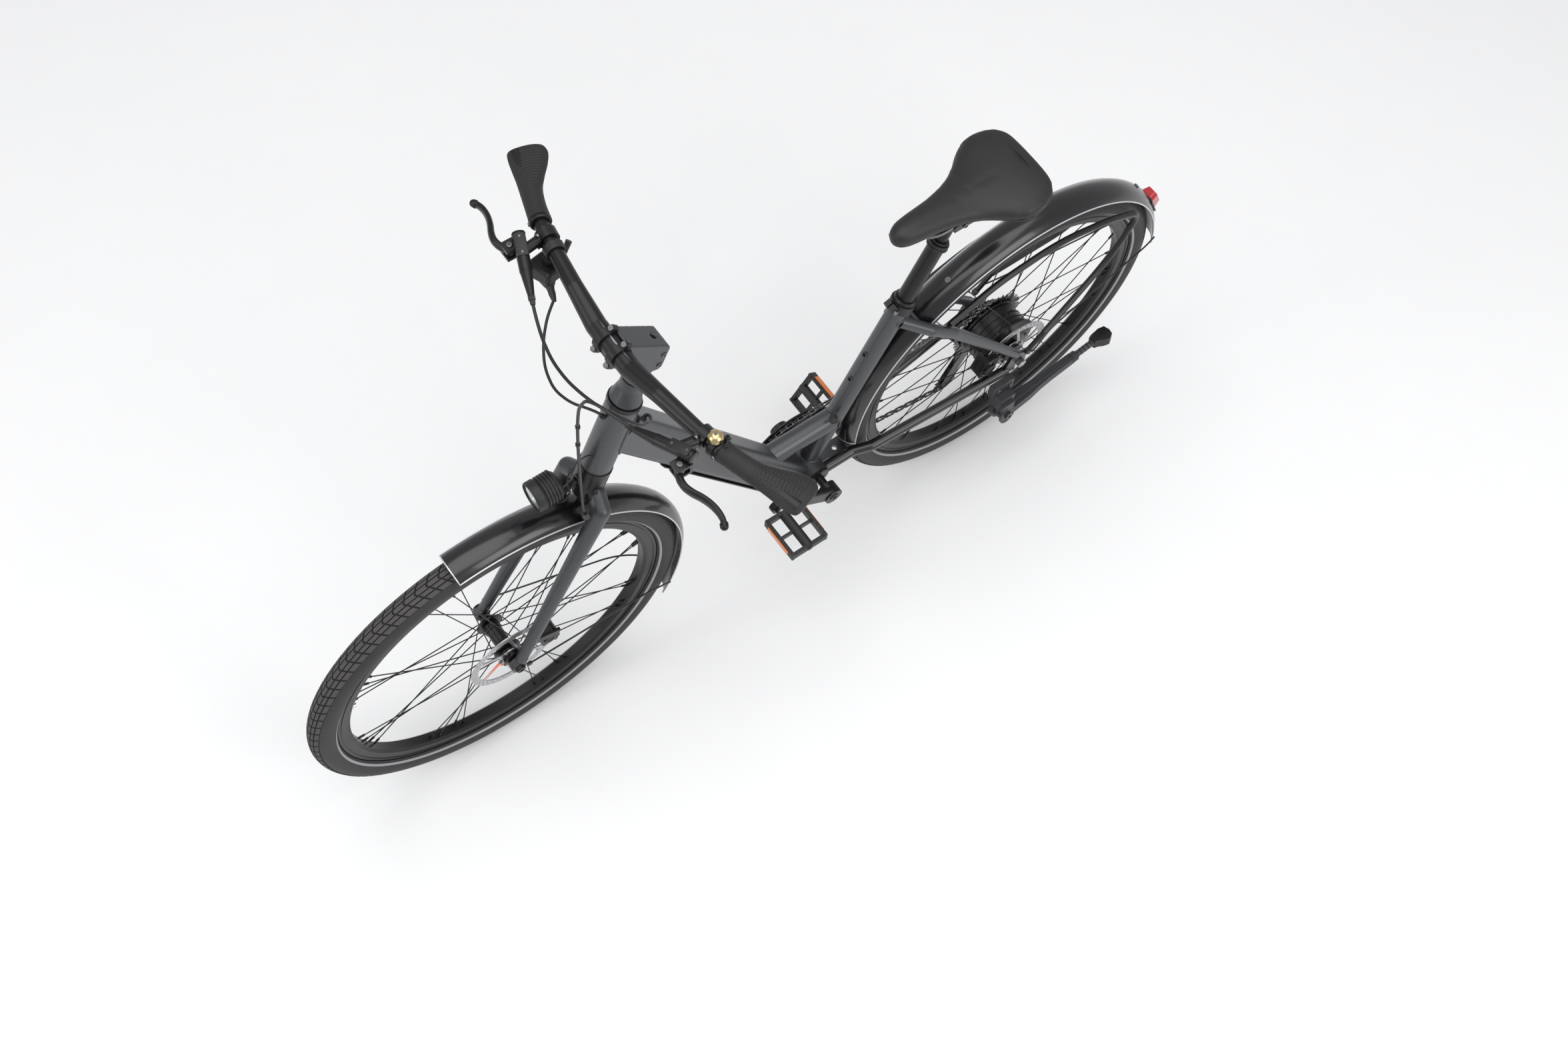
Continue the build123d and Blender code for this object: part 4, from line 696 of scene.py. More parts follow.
# x, half width, skirt height, top height, and how square the outline is
saddleSections = [(60, 50, 936, 950, 2.2), (64, 62, 930, 954, 2.3), (74, 76, 922, 957, 2.4), (92, 85,
                                                                                              916, 958, 2.5),
                  (112, 89, 912, 957, 2.6), (130, 88, 909, 955, 2.6), (150, 77, 908, 953, 2.5), (170,
                      61, 908, 952, 2.4),
                  (192, 47, 909, 951, 2.3), (215, 38, 910, 951, 2.3), (245, 31, 911, 952, 2.2), (275,
                      27, 911, 953, 2.2),
                  (300, 25, 911, 953, 2.2), (320, 21.5, 912, 951, 2.2), (332, 16, 915, 947, 2.1), (339,
                      7, 920, 940, 2.0)]


def saddleShell():
    verts = []
    steps = 40
    for x, half, low, high, square in saddleSections:
        for i in range(steps):
            turn = 2 * math.pi * i / steps
            c, s = math.cos(turn), math.sin(turn)
            y = math.copysign(abs(c)**(2 / square), c) * half
            z = math.copysign(abs(s)**(2 / square), s)
            centre = (low + high) / 2
            rise = (high - centre) * z if z > 0 else (centre - low) * z
            # a shallow relief channel along the middle of the top
            dip = 2.2 * math.exp(-(y / 11)**2) * max(0, 1 - abs(x - 165) / 120) if z > 0 else 0
            verts.append(at(x, y, centre + rise - dip))
    return verts, ringFaces(len(saddleSections), steps)


def makeSaddle():
    verts, faces = saddleShell()
    mesh = bpy.data.meshes.new("saddlePad")
    mesh.from_pydata([tuple(v) for v in verts], [], faces)
    faceOutward(mesh)
    pad = linkPiece("saddlePad", mesh)
    remesh = pad.modifiers.new("evenFaces", "REMESH")
    remesh.mode = "VOXEL"
    remesh.voxel_size = saddle["voxel"]
    settle(pad)
    pinned = pad.vertex_groups.new(name="held")
    for vert in pad.data.vertices:
        low = vert.co.z < at(0, 0, 924).z
        pinned.add([vert.index], 1.0 if low else 0.0, "REPLACE")
    before = [v.co.copy() for v in pad.data.vertices]
    cloth = pad.modifiers.new("coverTension", "CLOTH")
    cloth.settings.quality = 5
    cloth.settings.use_pressure = True
    cloth.settings.uniform_pressure_force = saddle["pressure"]
    cloth.settings.vertex_group_mass = "held"
    cloth.settings.effector_weights.gravity = 0
    cloth.settings.tension_stiffness = 40
    cloth.point_cache.frame_start = 1
    cloth.point_cache.frame_end = saddle["frames"]
    for number in range(1, saddle["frames"] + 1):
        bpy.context.scene.frame_set(number)
    settle(pad)
    bpy.context.scene.frame_set(1)
    for vert, was in zip(pad.data.vertices, before):
        move = vert.co - was
        if move.length > saddle["mostMove"]:
            vert.co = was + move.normalized() * saddle["mostMove"]
    smooth = pad.modifiers.new("evenOut", "SMOOTH")
    smooth.factor = 0.5
    smooth.iterations = 4
    fine = pad.modifiers.new("fineFaces", "SUBSURF")
    fine.levels = fine.render_levels = 1
    settle(pad)
    pad.data.materials.append(materials["saddleVinyl"])
    setAll(pad.data, "use_smooth", True)
    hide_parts("saddle")
    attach(pad, "seat")
    return pad


def settle(piece):
    # keeps the shape that the modifiers give, without the modifiers
    graph = bpy.context.evaluated_depsgraph_get()
    made = bpy.data.meshes.new_from_object(piece.evaluated_get(graph))
    piece.modifiers.clear()
    piece.data = made


makeSaddle()


def saddleTrim():
    parts = []
    # piping round the widest line of the pad
    rows = [(x, half, (low + high) / 2) for x, half, low, high, _ in saddleSections[1:-1]]
    left = [at(x, half - 2.6, z - 5) for x, half, z in rows]
    right = [at(x, -half + 2.6, z - 5) for x, half, z in rows]
    rim = smoothPath(left, 4) + smoothPath(right[::-1], 4)
    parts.append((sweep(rim, disc(1.6, 8), closed=True), "saddleTrim"))
    # seam over the rear wings
    for offset in (0, 5):
        seam = []
        for i in range(25):
            share = i / 24
            y = -80 + 160 * share
            x = 84 + offset + 12 * math.cos(math.pi * (share - 0.5)) * -1 + 10
            z = 909 + 49.2 * (1 - abs(y / 92)**2.6)**0.42
            seam.append(at(x, y, z))
        parts.append((sweep(seam, disc(0.8, 6)), "saddleTrim"))
    return addPiece("saddleTrimLines", parts, "seat")


saddleTrim()


def seatHardware():
    parts = []
    # rubber rings of the sprung seat post
    for along, radius in ((570, 19.0), (575.5, 18.4), (581.5, 15.5)):
        rows = [(-2, 11.3), (-2, radius - 1), (-1.2, radius), (1.2, radius), (2, radius - 1), (2, 11.3),
                (-2, 11.3)]
        parts.append((lathe(rows, onSeat(along), seatUp, 40), "hoseRubber"))
    addPiece("postRubberRings", parts, "seat_post")
    bolts = []
    for side in (1, -1):
        bolts.append((hexBolt(at(208, side * 28, 905), leftward * side, 5.0, 3.5), "darkSteel"))
    addPiece("saddleClampBolts", bolts, "seat")
    # seal where the post leaves the frame
    ring = lathe([(438, 18.6), (441, 19.6), (446, 17.6), (446, 15.2), (438, 15.2), (438, 18.6)],
                 bracket, seatUp, 48)
    addPiece("postSeal", [(ring, "hoseRubber")], "frame")


seatHardware()
print("saddle made")

grip = dict(inner=224.0, outer=353.0, ribDepth=0.9, ribs=26)


def barPoint(side, y):
    share = (y - 206) / (347 - 206)
    return at(832 + (789 - 832) * share, side * y, 1101 + (1091 - 1101) * share)


def makeGrip(side, name, node):
    inner, outer = barPoint(side, grip["inner"]), barPoint(side, grip["outer"])
    line = (outer - inner).normalized()
    back = (line * forward.dot(line) - forward).normalized()
    up = (upward - line * upward.dot(line) - back * upward.dot(back)).normalized()
    keys = [(0.0, 16.8, 16.8, 0.0), (0.05, 16.2, 16.2, 0), (0.2, 15.8, 15.6, 0.3), (0.4, 17.2, 15.0, 2.4),
            (0.56, 21.4, 13.8, 7.0), (0.72, 27.0, 12.4, 12.0), (0.86, 30.0, 11.4, 14.8), (0.95, 28.2,
                                                                                          10.0, 14.4),
            (0.985, 24.5, 7.4, 13.4), (1.0, 19.0, 3.6, 12.5)]

    def keyed(share, index):
        for low, high in zip(keys, keys[1:]):
            if share <= high[0]:
                place = keys.index(low)
                a, d = keys[max(0, place - 1)], keys[min(len(keys) - 1, place + 2)]
                width = high[0] - low[0]
                rise0 = (high[index] - a[index]) / (high[0] - a[0]) * width
                rise1 = (d[index] - low[index]) / (d[0] - low[0]) * width
                t = (share - low[0]) / width
                return ((2 * t**3 - 3 * t**2 + 1) * low[index] + (t**3 - 2 * t**2 + t) * rise0
                        + (-2 * t**3 + 3 * t**2) * high[index] + (t**3 - t**2) * rise1)
        return keys[-1][index]
    rows, steps = 240, 112
    verts = []
    for i in range(rows + 1):
        share = i / rows
        wide, high, shift = keyed(share, 1), keyed(share, 2), keyed(share, 3)
        origin = inner + (outer - inner) * share + back * shift * mm
        for k in range(steps):
            turn = 2 * math.pi * k / steps
            c, s = math.cos(turn), math.sin(turn)
            ribs = 0.0
            if 0.34 < share < 0.95 and s > 0.15:
                # crossing diagonal ribs on the palm side only
                phase = grip["ribs"] * share * math.pi
                wave = math.sin(phase + 5 * c) * math.sin(phase - 5 * c)
                palm = min(1, (s - 0.15) * 3) * min(1, (share - 0.34) * 9) * min(1, (0.95 - share) * 20)
                ribs = grip["ribDepth"] * palm * (0.5 if wave > 0 else -0.5)
            flat = 1 - 0.10 * max(0, c)**3
            verts.append(origin + (back * c * (wide + ribs * 0.4) + up * s * (high * flat + ribs)) * mm)
    parts = [((verts, ringFaces(rows + 1, steps)), "gripRubber")]
    collar = lathe([(-7, 12.2), (-7, 15.6), (-6, 16.6), (-1, 16.6), (0, 15.6), (0, 12.2), (-7, 12.2)],
                   inner, line, 48)
    parts.append((collar, "anodised"))
    parts.append((hexBolt(inner - line * 3.5 * mm - back * 15.5 * mm, -back, 3.2, 3.0), "darkSteel"))
    return addPiece(name, parts, "steering", stands=(node,), angle=60)


makeGrip(1, "gripLeft", "grip_left")
makeGrip(-1, "gripRight", "grip_right")
print("grips made")

lever = dict(pivot=(886, 210, 1091), width=10.5, depth=5.0)


def makeLever(side, name, body, node):
    px, py, pz = lever["pivot"]
    pivot = at(px, side * py, pz)
    spots = [(4, 2, 0), (9, 14, -0.5), (10, 27, -1), (6, 40, -2), (0, 52, -3), (-5, 66, -4.6), (-7, 80,
                                                                                                -6.2),
             (-6, 92, -7.6), (-2, 101, -8.4)]
    path = smoothPath([pivot + Vector((x, side * y, z)) * mm for x, y, z in spots], 6)

    def blade(share):
        # wide and flat for the fingers, thicker at the knuckle and hooked at its tip
        wide = lever["width"] * (0.62 + 0.30 * math.sin(math.pi * min(1, share * 1.05)))
        deep = lever["depth"] * (1.15 - 0.35 * share)
        if share > 0.93:
            wide, deep = wide * 1.05, deep * 1.5
        return [(math.cos(t) * deep, math.sin(t) * wide) for t in (2 * math.pi * i / 18 for i in range(18))]
    parts = [(sweep(path, blade, twist=forward), "anodised")]
    tip = path[-1]
    ballRows = [(6.0 * math.sin(a), 6.0 * math.cos(a)) for a in (math.radians(d) for d in range(-90, 91,
                                                                                                15))]
    parts.append((lathe(ballRows, tip, upward, 24), "anodised"))
    knuckle = [(-6, 0.01), (-6, 6.8), (-5, 8.4), (5, 8.4), (6, 6.8), (6, 0.01)]
    parts.append((lathe(knuckle, pivot, upward, 36), "anodised"))
    parts.append((lathe([(-11.4, 0.01), (-11.4, 2.9), (11.6, 2.9), (11.6, 0.01)], pivot, upward, 20),
                  "bareSteel"))
    parts.append((hexBolt(pivot + Vector((0, 0, 11.5 * mm)), upward, 4.6, 2.2), "darkSteel"))
    return addPiece(name, parts, body, stands=(node,), angle=50)


makeLever(1, "brakeLeverLeft", "lever_left", "brake_lever_left")
makeLever(-1, "brakeLeverRight", "lever_right", "brake_lever_right")


def controlDetails():
    parts = []
    for side in (1, -1):
        outer, hoseEnd = at(868, side * 214, 1111), at(903, side * 128, 1092)
        along = (hoseEnd - outer).normalized()
        # lid of the fluid reservoir, its screws, and the hose nut
        up = (upward - along * along.z).normalized()
        across = along.cross(up)
        lid = [(3, -7), (6, -8.4), (34, -8.4), (37, -7), (37, 7), (34, 8.4), (6, 8.4), (3, 7)]
        parts.append((plate(lid, 4.5, outer + up * 8.6 * mm, along, across, 0.08), "mouldedBlack"))
        for a in (8, 32):
            parts.append((hexBolt(outer + along * a * mm + up * 10.6 * mm, up, 1.9, 0.9), "darkSteel"))
        length = (hoseEnd - outer).length / mm
        nut = [(length - 2, 4.2), (length, 5.2), (length + 7, 5.2), (length + 8, 4.2), (length + 14, 3.6),
               (length + 14, 2.6), (length - 2, 2.6), (length - 2, 4.2)]
        parts.append((lathe(nut, outer, along, 6), "anodised"))
        parts.append((lathe([(1, 10.2), (-1.2, 9.4), (-2.0, 7.0), (-2.0, 0.01)], outer, along, 32),
                      "anodised"))
        # screws of the bar clamp
        for z in (14, -14):
            spot = at(848, side * 194, 1101 + z)
            parts.append((hexBolt(spot, forward, 3.2, 3.0), "darkSteel"))
    # tapered neck where the shift cable leaves its pod
    start, end = at(855, -170, 1062), at(868, -128, 1052)
    reach = (end - start).length / mm
    barrel = [(0, 0.01), (0, 13), (14, 12.4), (22, 8.6), (26, 6.2), (30, 5.4), (37, 5.2), (reach - 4, 4.4),
              (reach, 3.6), (reach + 3, 3.2), (reach + 3, 0.01)]
    parts.append((lathe(barrel, start, end - start, 28), "mouldedBlack"))
    return addPiece("barControlDetails", parts, "steering")


controlDetails()


def bellDetails():
    post = barPoint(1, 212) + Vector((0, 0, 13 * mm))
    up = upward
    rows = [(8.4, 11.0), (9.2, 11.5), (11, 11.2), (14, 9.8), (16.6, 7.2), (18.2, 3.8), (18.6, 0.01)]
    inside = [(8.4, 11.0), (8.4, 10.1), (13.4, 8.6), (16.2, 5.6), (17.2, 0.01)]
    parts = [(lathe(rows, post, up, 48), "brass"), (lathe(inside, post, up, 48), "brass"),
             (hexBolt(post + up * 18.2 * mm, up, 2.4, 1.3), "darkSteel")]
    collar = barPoint(1, 212)
    along = (barPoint(1, 217) - collar).normalized()
    band = [(-5, 12), (-5, 14.9), (-4, 15.9), (4, 15.9), (5, 14.9), (5, 12), (-5, 12)]
    parts.append((lathe(band, collar, along, 48), "mouldedBlack"))
    stand = [(-1, 9.4), (3, 9.4), (5, 7.0), (8, 3.4), (9, 3.0), (9, 0.01)]
    parts.append((lathe(stand, post, up, 28), "mouldedBlack"))
    ear = [(-13, 0), (-20, 2), (-20, 10), (-13, 11), (-5, 6), (-5, 0)]
    parts.append((plate(ear, 2.0, post + up * -1.0 * mm, forward, leftward, 0.05), "mouldedBlack"))
    return addPiece("bellDome", parts, "steering", stands=("bell",))


bellDetails()
print("bar controls made")

stem = dict(voxel=0.0013, smoothing=16)


def roundedStem():
    # the stem's block with its edges rounded
    mesh = nodes["stem"].data.copy()
    mesh.name = "stemRounded"
    piece = linkPiece("stemRounded", mesh)
    piece.matrix_world = nodes["stem"].matrix_world
    even = piece.modifiers.new("evenFaces", "REMESH")
    even.mode = "VOXEL"
    even.voxel_size = stem["voxel"]
    soften = piece.modifiers.new("soften", "SMOOTH")
    soften.factor = 0.5
    soften.iterations = stem["smoothing"]
    settle(piece)
    piece.data.materials.clear()
    piece.data.materials.append(materials["framePaint"])
    setAll(piece.data, "material_index", 0)
    setAll(piece.data, "use_smooth", True)
    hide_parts("stem")
    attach(piece, "steering")
    return piece


roundedStem()


def stemDetails():
    parts = []
    top = onFork(0, 0, 752)
    recess = [(-0.2, 8.6), (0.5, 8.4), (0.6, 6.4), (0.1, 6.2), (0.1, 0.01)]
    parts.append((lathe(recess, top, steerUp, 36), "anodised"))
    out = (at(852, 0, 1083) - onFork(0, 0, 727)).normalized()
    for y in (16, -16):
        for x, z in ((868, 1070), (837, 1097)):
            parts.append((hexBolt(at(x, y, z) + out * 9 * mm, out, 4.2, 3.4), "darkSteel"))
    for along in (714, 736):
        parts.append((hexBolt(onFork(-14, 21, along), leftward, 4.4, 1.8), "darkSteel"))
    # fine grooves between the spacer rings
    for along in (641.5, 669.1, 697.0):
        ring = [(along, 18.9), (along, 19.9), (along + 1.6, 19.9), (along + 1.6, 18.9), (along, 18.9)]
        parts.append((lathe(ring, steerFoot, steerUp, 48), "anodised"))
    return addPiece("stemBolts", parts, "steering")


stemDetails()


def castOntoCylinder(outline, direction, spot, axis, radius):
    # where each line from the outline, along direction, first meets a cylinder
    axis = axis.normalized()
    hits = []
    for point in outline:
        gap = point - spot
        d = direction - axis * direction.dot(axis)
        g = gap - axis * gap.dot(axis)
        a, b, c = d.dot(d), 2 * d.dot(g), g.dot(g) - radius * radius
        inside = b * b - 4 * a * c
        t = (-b - math.sqrt(max(0.0, inside))) / (2 * a)
        hits.append(point + direction * t)
    return hits


def roundOutline(centre, first, second, radius, steps=40):
    turns = [2 * math.pi * i / steps for i in range(steps)]
    return [centre + (first * math.cos(turn) + second * math.sin(turn)) * radius * mm for turn in turns]


weld = dict(downTube=2.6, tube=2.0, stay=1.6)


def frameWelds():
    parts = []
    # down tube onto the head tube
    low = downTubeLow
    along = (downTubeHigh - low).normalized()
    first, second = leftward, along.cross(leftward)
    outline = []
    for i in range(56):
        turn = 2 * math.pi * i / 56
        c, s = math.cos(turn), math.sin(turn)
        a = math.copysign(abs(c)**0.42, c) * 25.0
        b = math.copysign(abs(s)**0.36, s) * 37.0
        outline.append(low + (first * a + second * b) * mm)
    ring = castOntoCylinder(outline, along, steerFoot, steerUp, 26 * mm)
    parts.append((sweep(ring, disc(weld["downTube"], 10), closed=True), "framePaint"))
    # seat tube, brace and stays
    first, second = sideways(seatUp)
    outline = roundOutline(bracket + seatUp * 0.2, first, second, 18)
    ring = castOntoCylinder(outline, -seatUp, bracket, leftward, 24 * mm)
    parts.append((sweep(ring, disc(weld["tube"], 8), closed=True), "framePaint"))
    outline = roundOutline(at(500, 0, 428), leftward, upward, 20)
    ring = []
    for point in outline:
        if abs(point.y) < 17.9 * mm:
            ring += castOntoCylinder([point], -forward, bracket, seatUp, 18 * mm)
        else:
            ring.append(Vector((onSeat(131).x, point.y, point.z)))
    parts.append((sweep(ring, disc(weld["tube"], 8), closed=True), "framePaint"))
    for side in (1, -1):
        stays = [(at(288, side * 12, 670), at(240, side * 43, 641), 11, seatUp, 18, "framePaint"),
                 (at(425, side * 27, 300), at(357, side * 30, 306), 10.3, leftward, 24, "stayBlack")]
        for end, before, radius, axis, tubeRadius, finish in stays:
            run = (end - before).normalized()
            outline = roundOutline(before, *sideways(run), radius, 28)
            ring = castOntoCylinder(outline, run, bracket, axis, tubeRadius * mm)
            parts.append((sweep(ring, disc(weld["stay"], 8), closed=True), finish))
    return addPiece("frameWelds", parts, "frame")


frameWelds()


def downTubeDetails():
    low = downTubeLow
    along = (downTubeHigh - low).normalized()
    up = Vector((-along.z, 0, along.x))
    parts = []
    # battery cover: a shallow panel under the tube, its two screws and its lock
    outline = [(60, -19), (66, -23), (474, -23), (480, -19), (480, 19), (474, 23), (66, 23), (60, 19)]
    parts.append((plate(outline, 2.2, low - up * 37.4 * mm, along, leftward, 0.01), "anodised"))
    for a in (78, 462):
        parts.append((hexBolt(low + along * a * mm - up * 38.4 * mm, -up, 3.6, 1.6), "darkSteel"))
    lock = [(-0.5, 9.0), (2.0, 9.0), (2.6, 8.2), (2.6, 5.6), (1.8, 5.4), (1.8, 0.01)]
    parts.append((lathe(lock, low + along * 430 * mm + leftward * 25 * mm, leftward, 32), "anodised"))
    # raised creases along both upper shoulders
    for side in (1, -1):
        line = [low + along * a * mm + up * 34.6 * mm + leftward * side * 15.6 * mm for a in range(40,
                                                                                                   600, 40)]
        parts.append((sweep(line, disc(0.9, 8)), "framePaint"))
    # rubber port where the brake hose enters
    port, inside = at(808, 17.5, 866), at(802, 12, 842)
    way = (inside - port).normalized()
    parts.append((lathe([(-1, 3.2), (-1, 6.2), (2, 7.4), (9, 7.4), (9, 3.2), (-1, 3.2)], port, way, 28),
                  "hoseRubber"))
    return addPiece("downTubeDetails", parts, "frame")


downTubeDetails()


def frameSmallParts():
    parts = []
    for along in (243, 307):
        rows = [(19.6, 2.5), (20.3, 2.5), (20.3, 4.9), (19.2, 5.6), (18.0, 5.6), (18.0, 2.5), (19.6, 2.5)]
        parts.append((lathe(rows, onSeat(along), seatAhead, 28), "mouldedBlack"))
    for side in (1, -1):
        # cups of the bottom bracket, with tool notches
        rows = [(37, 13), (41.2, 13), (41.6, 20), (40.4, 23.4), (37, 23.4), (37, 13)]

        def notched(turn):
            return 1.0 if math.sin(turn * 16) > -0.2 else 0.955
        parts.append((lathe(rows, bracket, leftward * side, 96, notched), "anodised"))
        # screws of the carrier
        parts.append((hexBolt(at(-8, side * 81.8, 396), leftward * side, 4.6, 2.8), "darkSteel"))
    # charge socket cap
    foot, out = at(410, 17, 462), Vector((0.45, 0.88, 0.15)).normalized()
    cap = [(3, 8.2), (5.4, 8.0), (6.2, 7.0), (6.2, 5.8), (5.6, 5.6), (5.6, 0.01)]
    parts.append((lathe(cap, foot, out, 32), "mouldedBlack"))
    return addPiece("frameSmallParts", parts, "frame")


frameSmallParts()
print("frame details made")


hoseRoutes = {
    "rearBrakeHose": ([(904.5, -125, 1091.5), (914, -100, 1082), (920, -76, 1062), (921, -52, 1038),
                         (914, -26, 1012), (899, 0, 986), (879, 24, 961), (856, 41, 936),
                         (836, 46, 910), (819, 36, 892), (809, 19, 870), (803, 13, 846)], 2.5),
    "shiftCable": ([(868, -128, 1052), (890, -112, 1046), (912, -90, 1032), (928, -64, 1010), (930, -38,
                                                                                               986),
                    (917, -16, 968), (897, -4, 950), (882, 0, 928), (872.4, 0, 904)], 2.2),
}


def crossingHose(name, points, radius, steps, low, high, stands=()):
    # a hose swept along the rounded route, left fixed where it is and attached to neither the frame nor the
    # steering
    shape = sweep(roundedRoute(points), disc(radius, steps))
    addPiece(name, [(shape, "hoseRubber")], None, stands=stands,
             blendTo=("frame", "steering", low, high))


def crossingHoses():
    for name, node in (("rearBrakeHose", "rear_brake_hose"), ("shiftCable", "control_cables")):
        route, radius = hoseRoutes[name]
        points = [at(*spot) for spot in route]
        crossingHose(name, points, radius, 16, points[-1], points[0], stands=(node,))
    lampRoute = [onFork(26.6, 9, 506), onFork(40, 11, 519), onFork(60, 11, 512), at(948, 10, 812),
                 at(949, 10, 784),
                 at(945, 10, 757), at(955, 10, 740), at(969, 9.5, 746), at(969, 9, 764.8)]
    crossingHose("lampCable", lampRoute, 1.6, 12, lampRoute[0], lampRoute[3])
    # ferrules and clips that stay with the bicycle's frame or fork
    parts = [(lathe([(0, 2.4), (0, 4.2), (7, 4.2), (8, 3.4), (8, 2.4), (0, 2.4)], at(873.5, 0, 906.6),
                    at(882, 0, 928) - at(872.4, 0, 904), 24), "anodised")]
    addPiece("headTubeFerrule", parts, "frame")
    clips = []
    for y, z in ((38, 1000), (38, 950)):
        clips.append((lathe([(-3, 2.4), (-3, 3.8), (3, 3.8), (3, 2.4), (-3, 2.4)],
                            at(939 + (1000 - z) * 0.04, y, z),
                            upward, 20), "mouldedBlack"))
    port = lathe([(-4, 2.6), (-4, 5.6), (6, 6.8), (10, 6.8), (10, 2.6), (-4, 2.6)], at(942.5, 46.4, 742),
                 at(941, 47, 731) - at(945, 45, 762), 24)
    clips.append((port, "hoseRubber"))
    addPiece("hoseClips", clips, "steering")


crossingHoses()
print("hoses made")

lamp = dict(back=958.0, height=790.0)


def makeHeadlight():
    origin = at(lamp["back"], 0, lamp["height"])
    rows = [(0, 0.01), (0, 14), (0.6, 17), (3, 20.5), (6, 23)]
    for i in range(5):
        x = 7 + i * 5.2
        rows += [(x, 23.4), (x + 0.5, 25.6), (x + 2.9, 25.9), (x + 3.4, 23.6)]
    rows += [(34, 24.4), (35, 25.9), (46.5, 25.9), (48.6, 25.2), (49.4, 24.2), (49.4, 22.6), (45, 22.2),
             (36, 16), (33, 8), (33, 0.01)]
    parts = [(lathe(rows, origin, forward, 64), "mouldedBlack")]
    bowl = [(33.4, 0.01), (33.4, 7.5), (36.4, 15.2), (41, 19.6), (44.5, 21.4), (44.9, 21.4), (41, 19.2),
            (36.8, 14.6), (34, 7), (34, 0.01)]
    parts.append((lathe(bowl, origin, forward, 48), "lampWhite"))
    glass = [(45.4, 22.1), (46.4, 22.1), (47.6, 16), (48.0, 8), (48.1, 0.01), (46.9, 0.01), (46.8, 8),
             (46.2, 16), (45.4, 22.1)]
    parts.append((lathe(glass, origin, forward, 48), "clearLens"))
    # the two emitters behind the glass
    for y in (-6, 6):
        parts.append((lathe([(34.2, 3.4), (37, 3.4), (38, 2.6), (38, 0.01)], origin + leftward * y * mm,
                            forward, 20), "lampWhite"))
    parts.append((hexBolt(origin + Vector((20 * mm, 0, -25.4 * mm)), -upward, 4.0, 2.0), "darkSteel"))
    return addPiece("headlightBody", parts, "steering", stands=("headlight",))


makeHeadlight()


def rearLightDetails():
    turn = math.radians(152)
    out = Vector((math.cos(turn), 0, math.sin(turn)))
    along = Vector((-math.sin(turn), 0, math.cos(turn)))
    foot = at(fender["rearCentre"], 0, axleHeight) + out * fender["crown"] * mm
    parts = []
    frameLine = [(-27, -15), (-24, -18), (24, -18), (27, -15), (27, 15), (24, 18), (-24, 18), (-27, 15)]
    ring = [foot + (along * a + leftward * b) * mm for a, b in frameLine]
    parts.append((sweep([p - out * (4.6 * (abs((p - foot).y / mm) / 18)**2 - 1) * mm for p in ring],
                        disc(2.0, 8), closed=True),
                  "mouldedBlack"))
    for a in (-12, -4, 4, 12):
        bar = [foot + (along * a + leftward * b + out * 14.2) * mm for b in (-9, -5, 0, 5, 9)]
        parts.append((sweep(bar, disc(1.0, 8)), "redLens"))
    return addPiece("rearLightDetails", parts, "frame")


rearLightDetails()
print("lamps made")


rimGroove = dict(radius=309, out=13.1, thick=0.5)


def wheelDetails(axle, name, body, boltY, boltRing):
    parts = []
    for i in range(6):
        turn = math.radians(60 * i + 10)
        spot = around(axle, boltRing, turn, boltY)
        parts.append((hexBolt(spot, leftward, 3.6, 2.2), "darkSteel"))
    # the line along each side of the rim
    for y in (-rimGroove["out"], rimGroove["out"]):
        ring = [around(axle, rimGroove["radius"], 2 * math.pi * i / 160, y) for i in range(160)]
        parts.append((sweep(ring, disc(rimGroove["thick"], 6), closed=True), "rimBlack"))
    return addPiece(name, parts, body)


wheelDetails(frontCentre, "frontWheelBolts", "front_wheel", 39.3, 22.5)
wheelDetails(rearCentre, "rearWheelBolts", "rear_wheel", 49.8, 26.0)


def hubDetails():
    parts = []
    for i in range(8):
        turn = math.radians(45 * i)
        spot = around(rearCentre, 48, turn, 35.0)
        parts.append((hexBolt(spot, leftward, 3.0, 1.6), "darkSteel"))
    for y in (-12, 0, 12, 22):
        ring = [(y - 1.2, 59.4), (y - 0.8, 61), (y + 0.8, 61), (y + 1.2, 59.4), (y - 1.2, 59.4)]
        parts.append((lathe(ring, rearCentre, leftward, 96), "anodised"))
    addPiece("motorRibs", parts, "rear_wheel")
    parts = []
    for y in (-24, -18, 14, 18):
        ring = [(y - 0.8, 14.4), (y - 0.5, 16.2), (y + 0.5, 16.2), (y + 0.8, 14.4), (y - 0.8, 14.4)]
        parts.append((lathe(ring, frontCentre, leftward, 64), "anodised"))
    addPiece("frontHubRings", parts, "front_wheel")
    ends = []
    for y, side in ((69, 1), (-70, -1)):
        ends.append((hexBolt(frontCentre + leftward * y * mm, leftward * side, 8.0, 2.2), "anodised"))
    addPiece("frontAxleEnds", ends, "steering")


hubDetails()
print("wheel details made")

pitch = 12.7
chainY = -44.0


def pitchRadius(teeth):
    return pitch / (2 * math.sin(math.pi / teeth))


chainWheels = [(0.0, 361.0, pitchRadius(20), 1), (443.0, 306.0, pitchRadius(42), 1),
               (52.0, 168.0, pitchRadius(11), 1), (14.0, 266.0, pitchRadius(11), -1)]


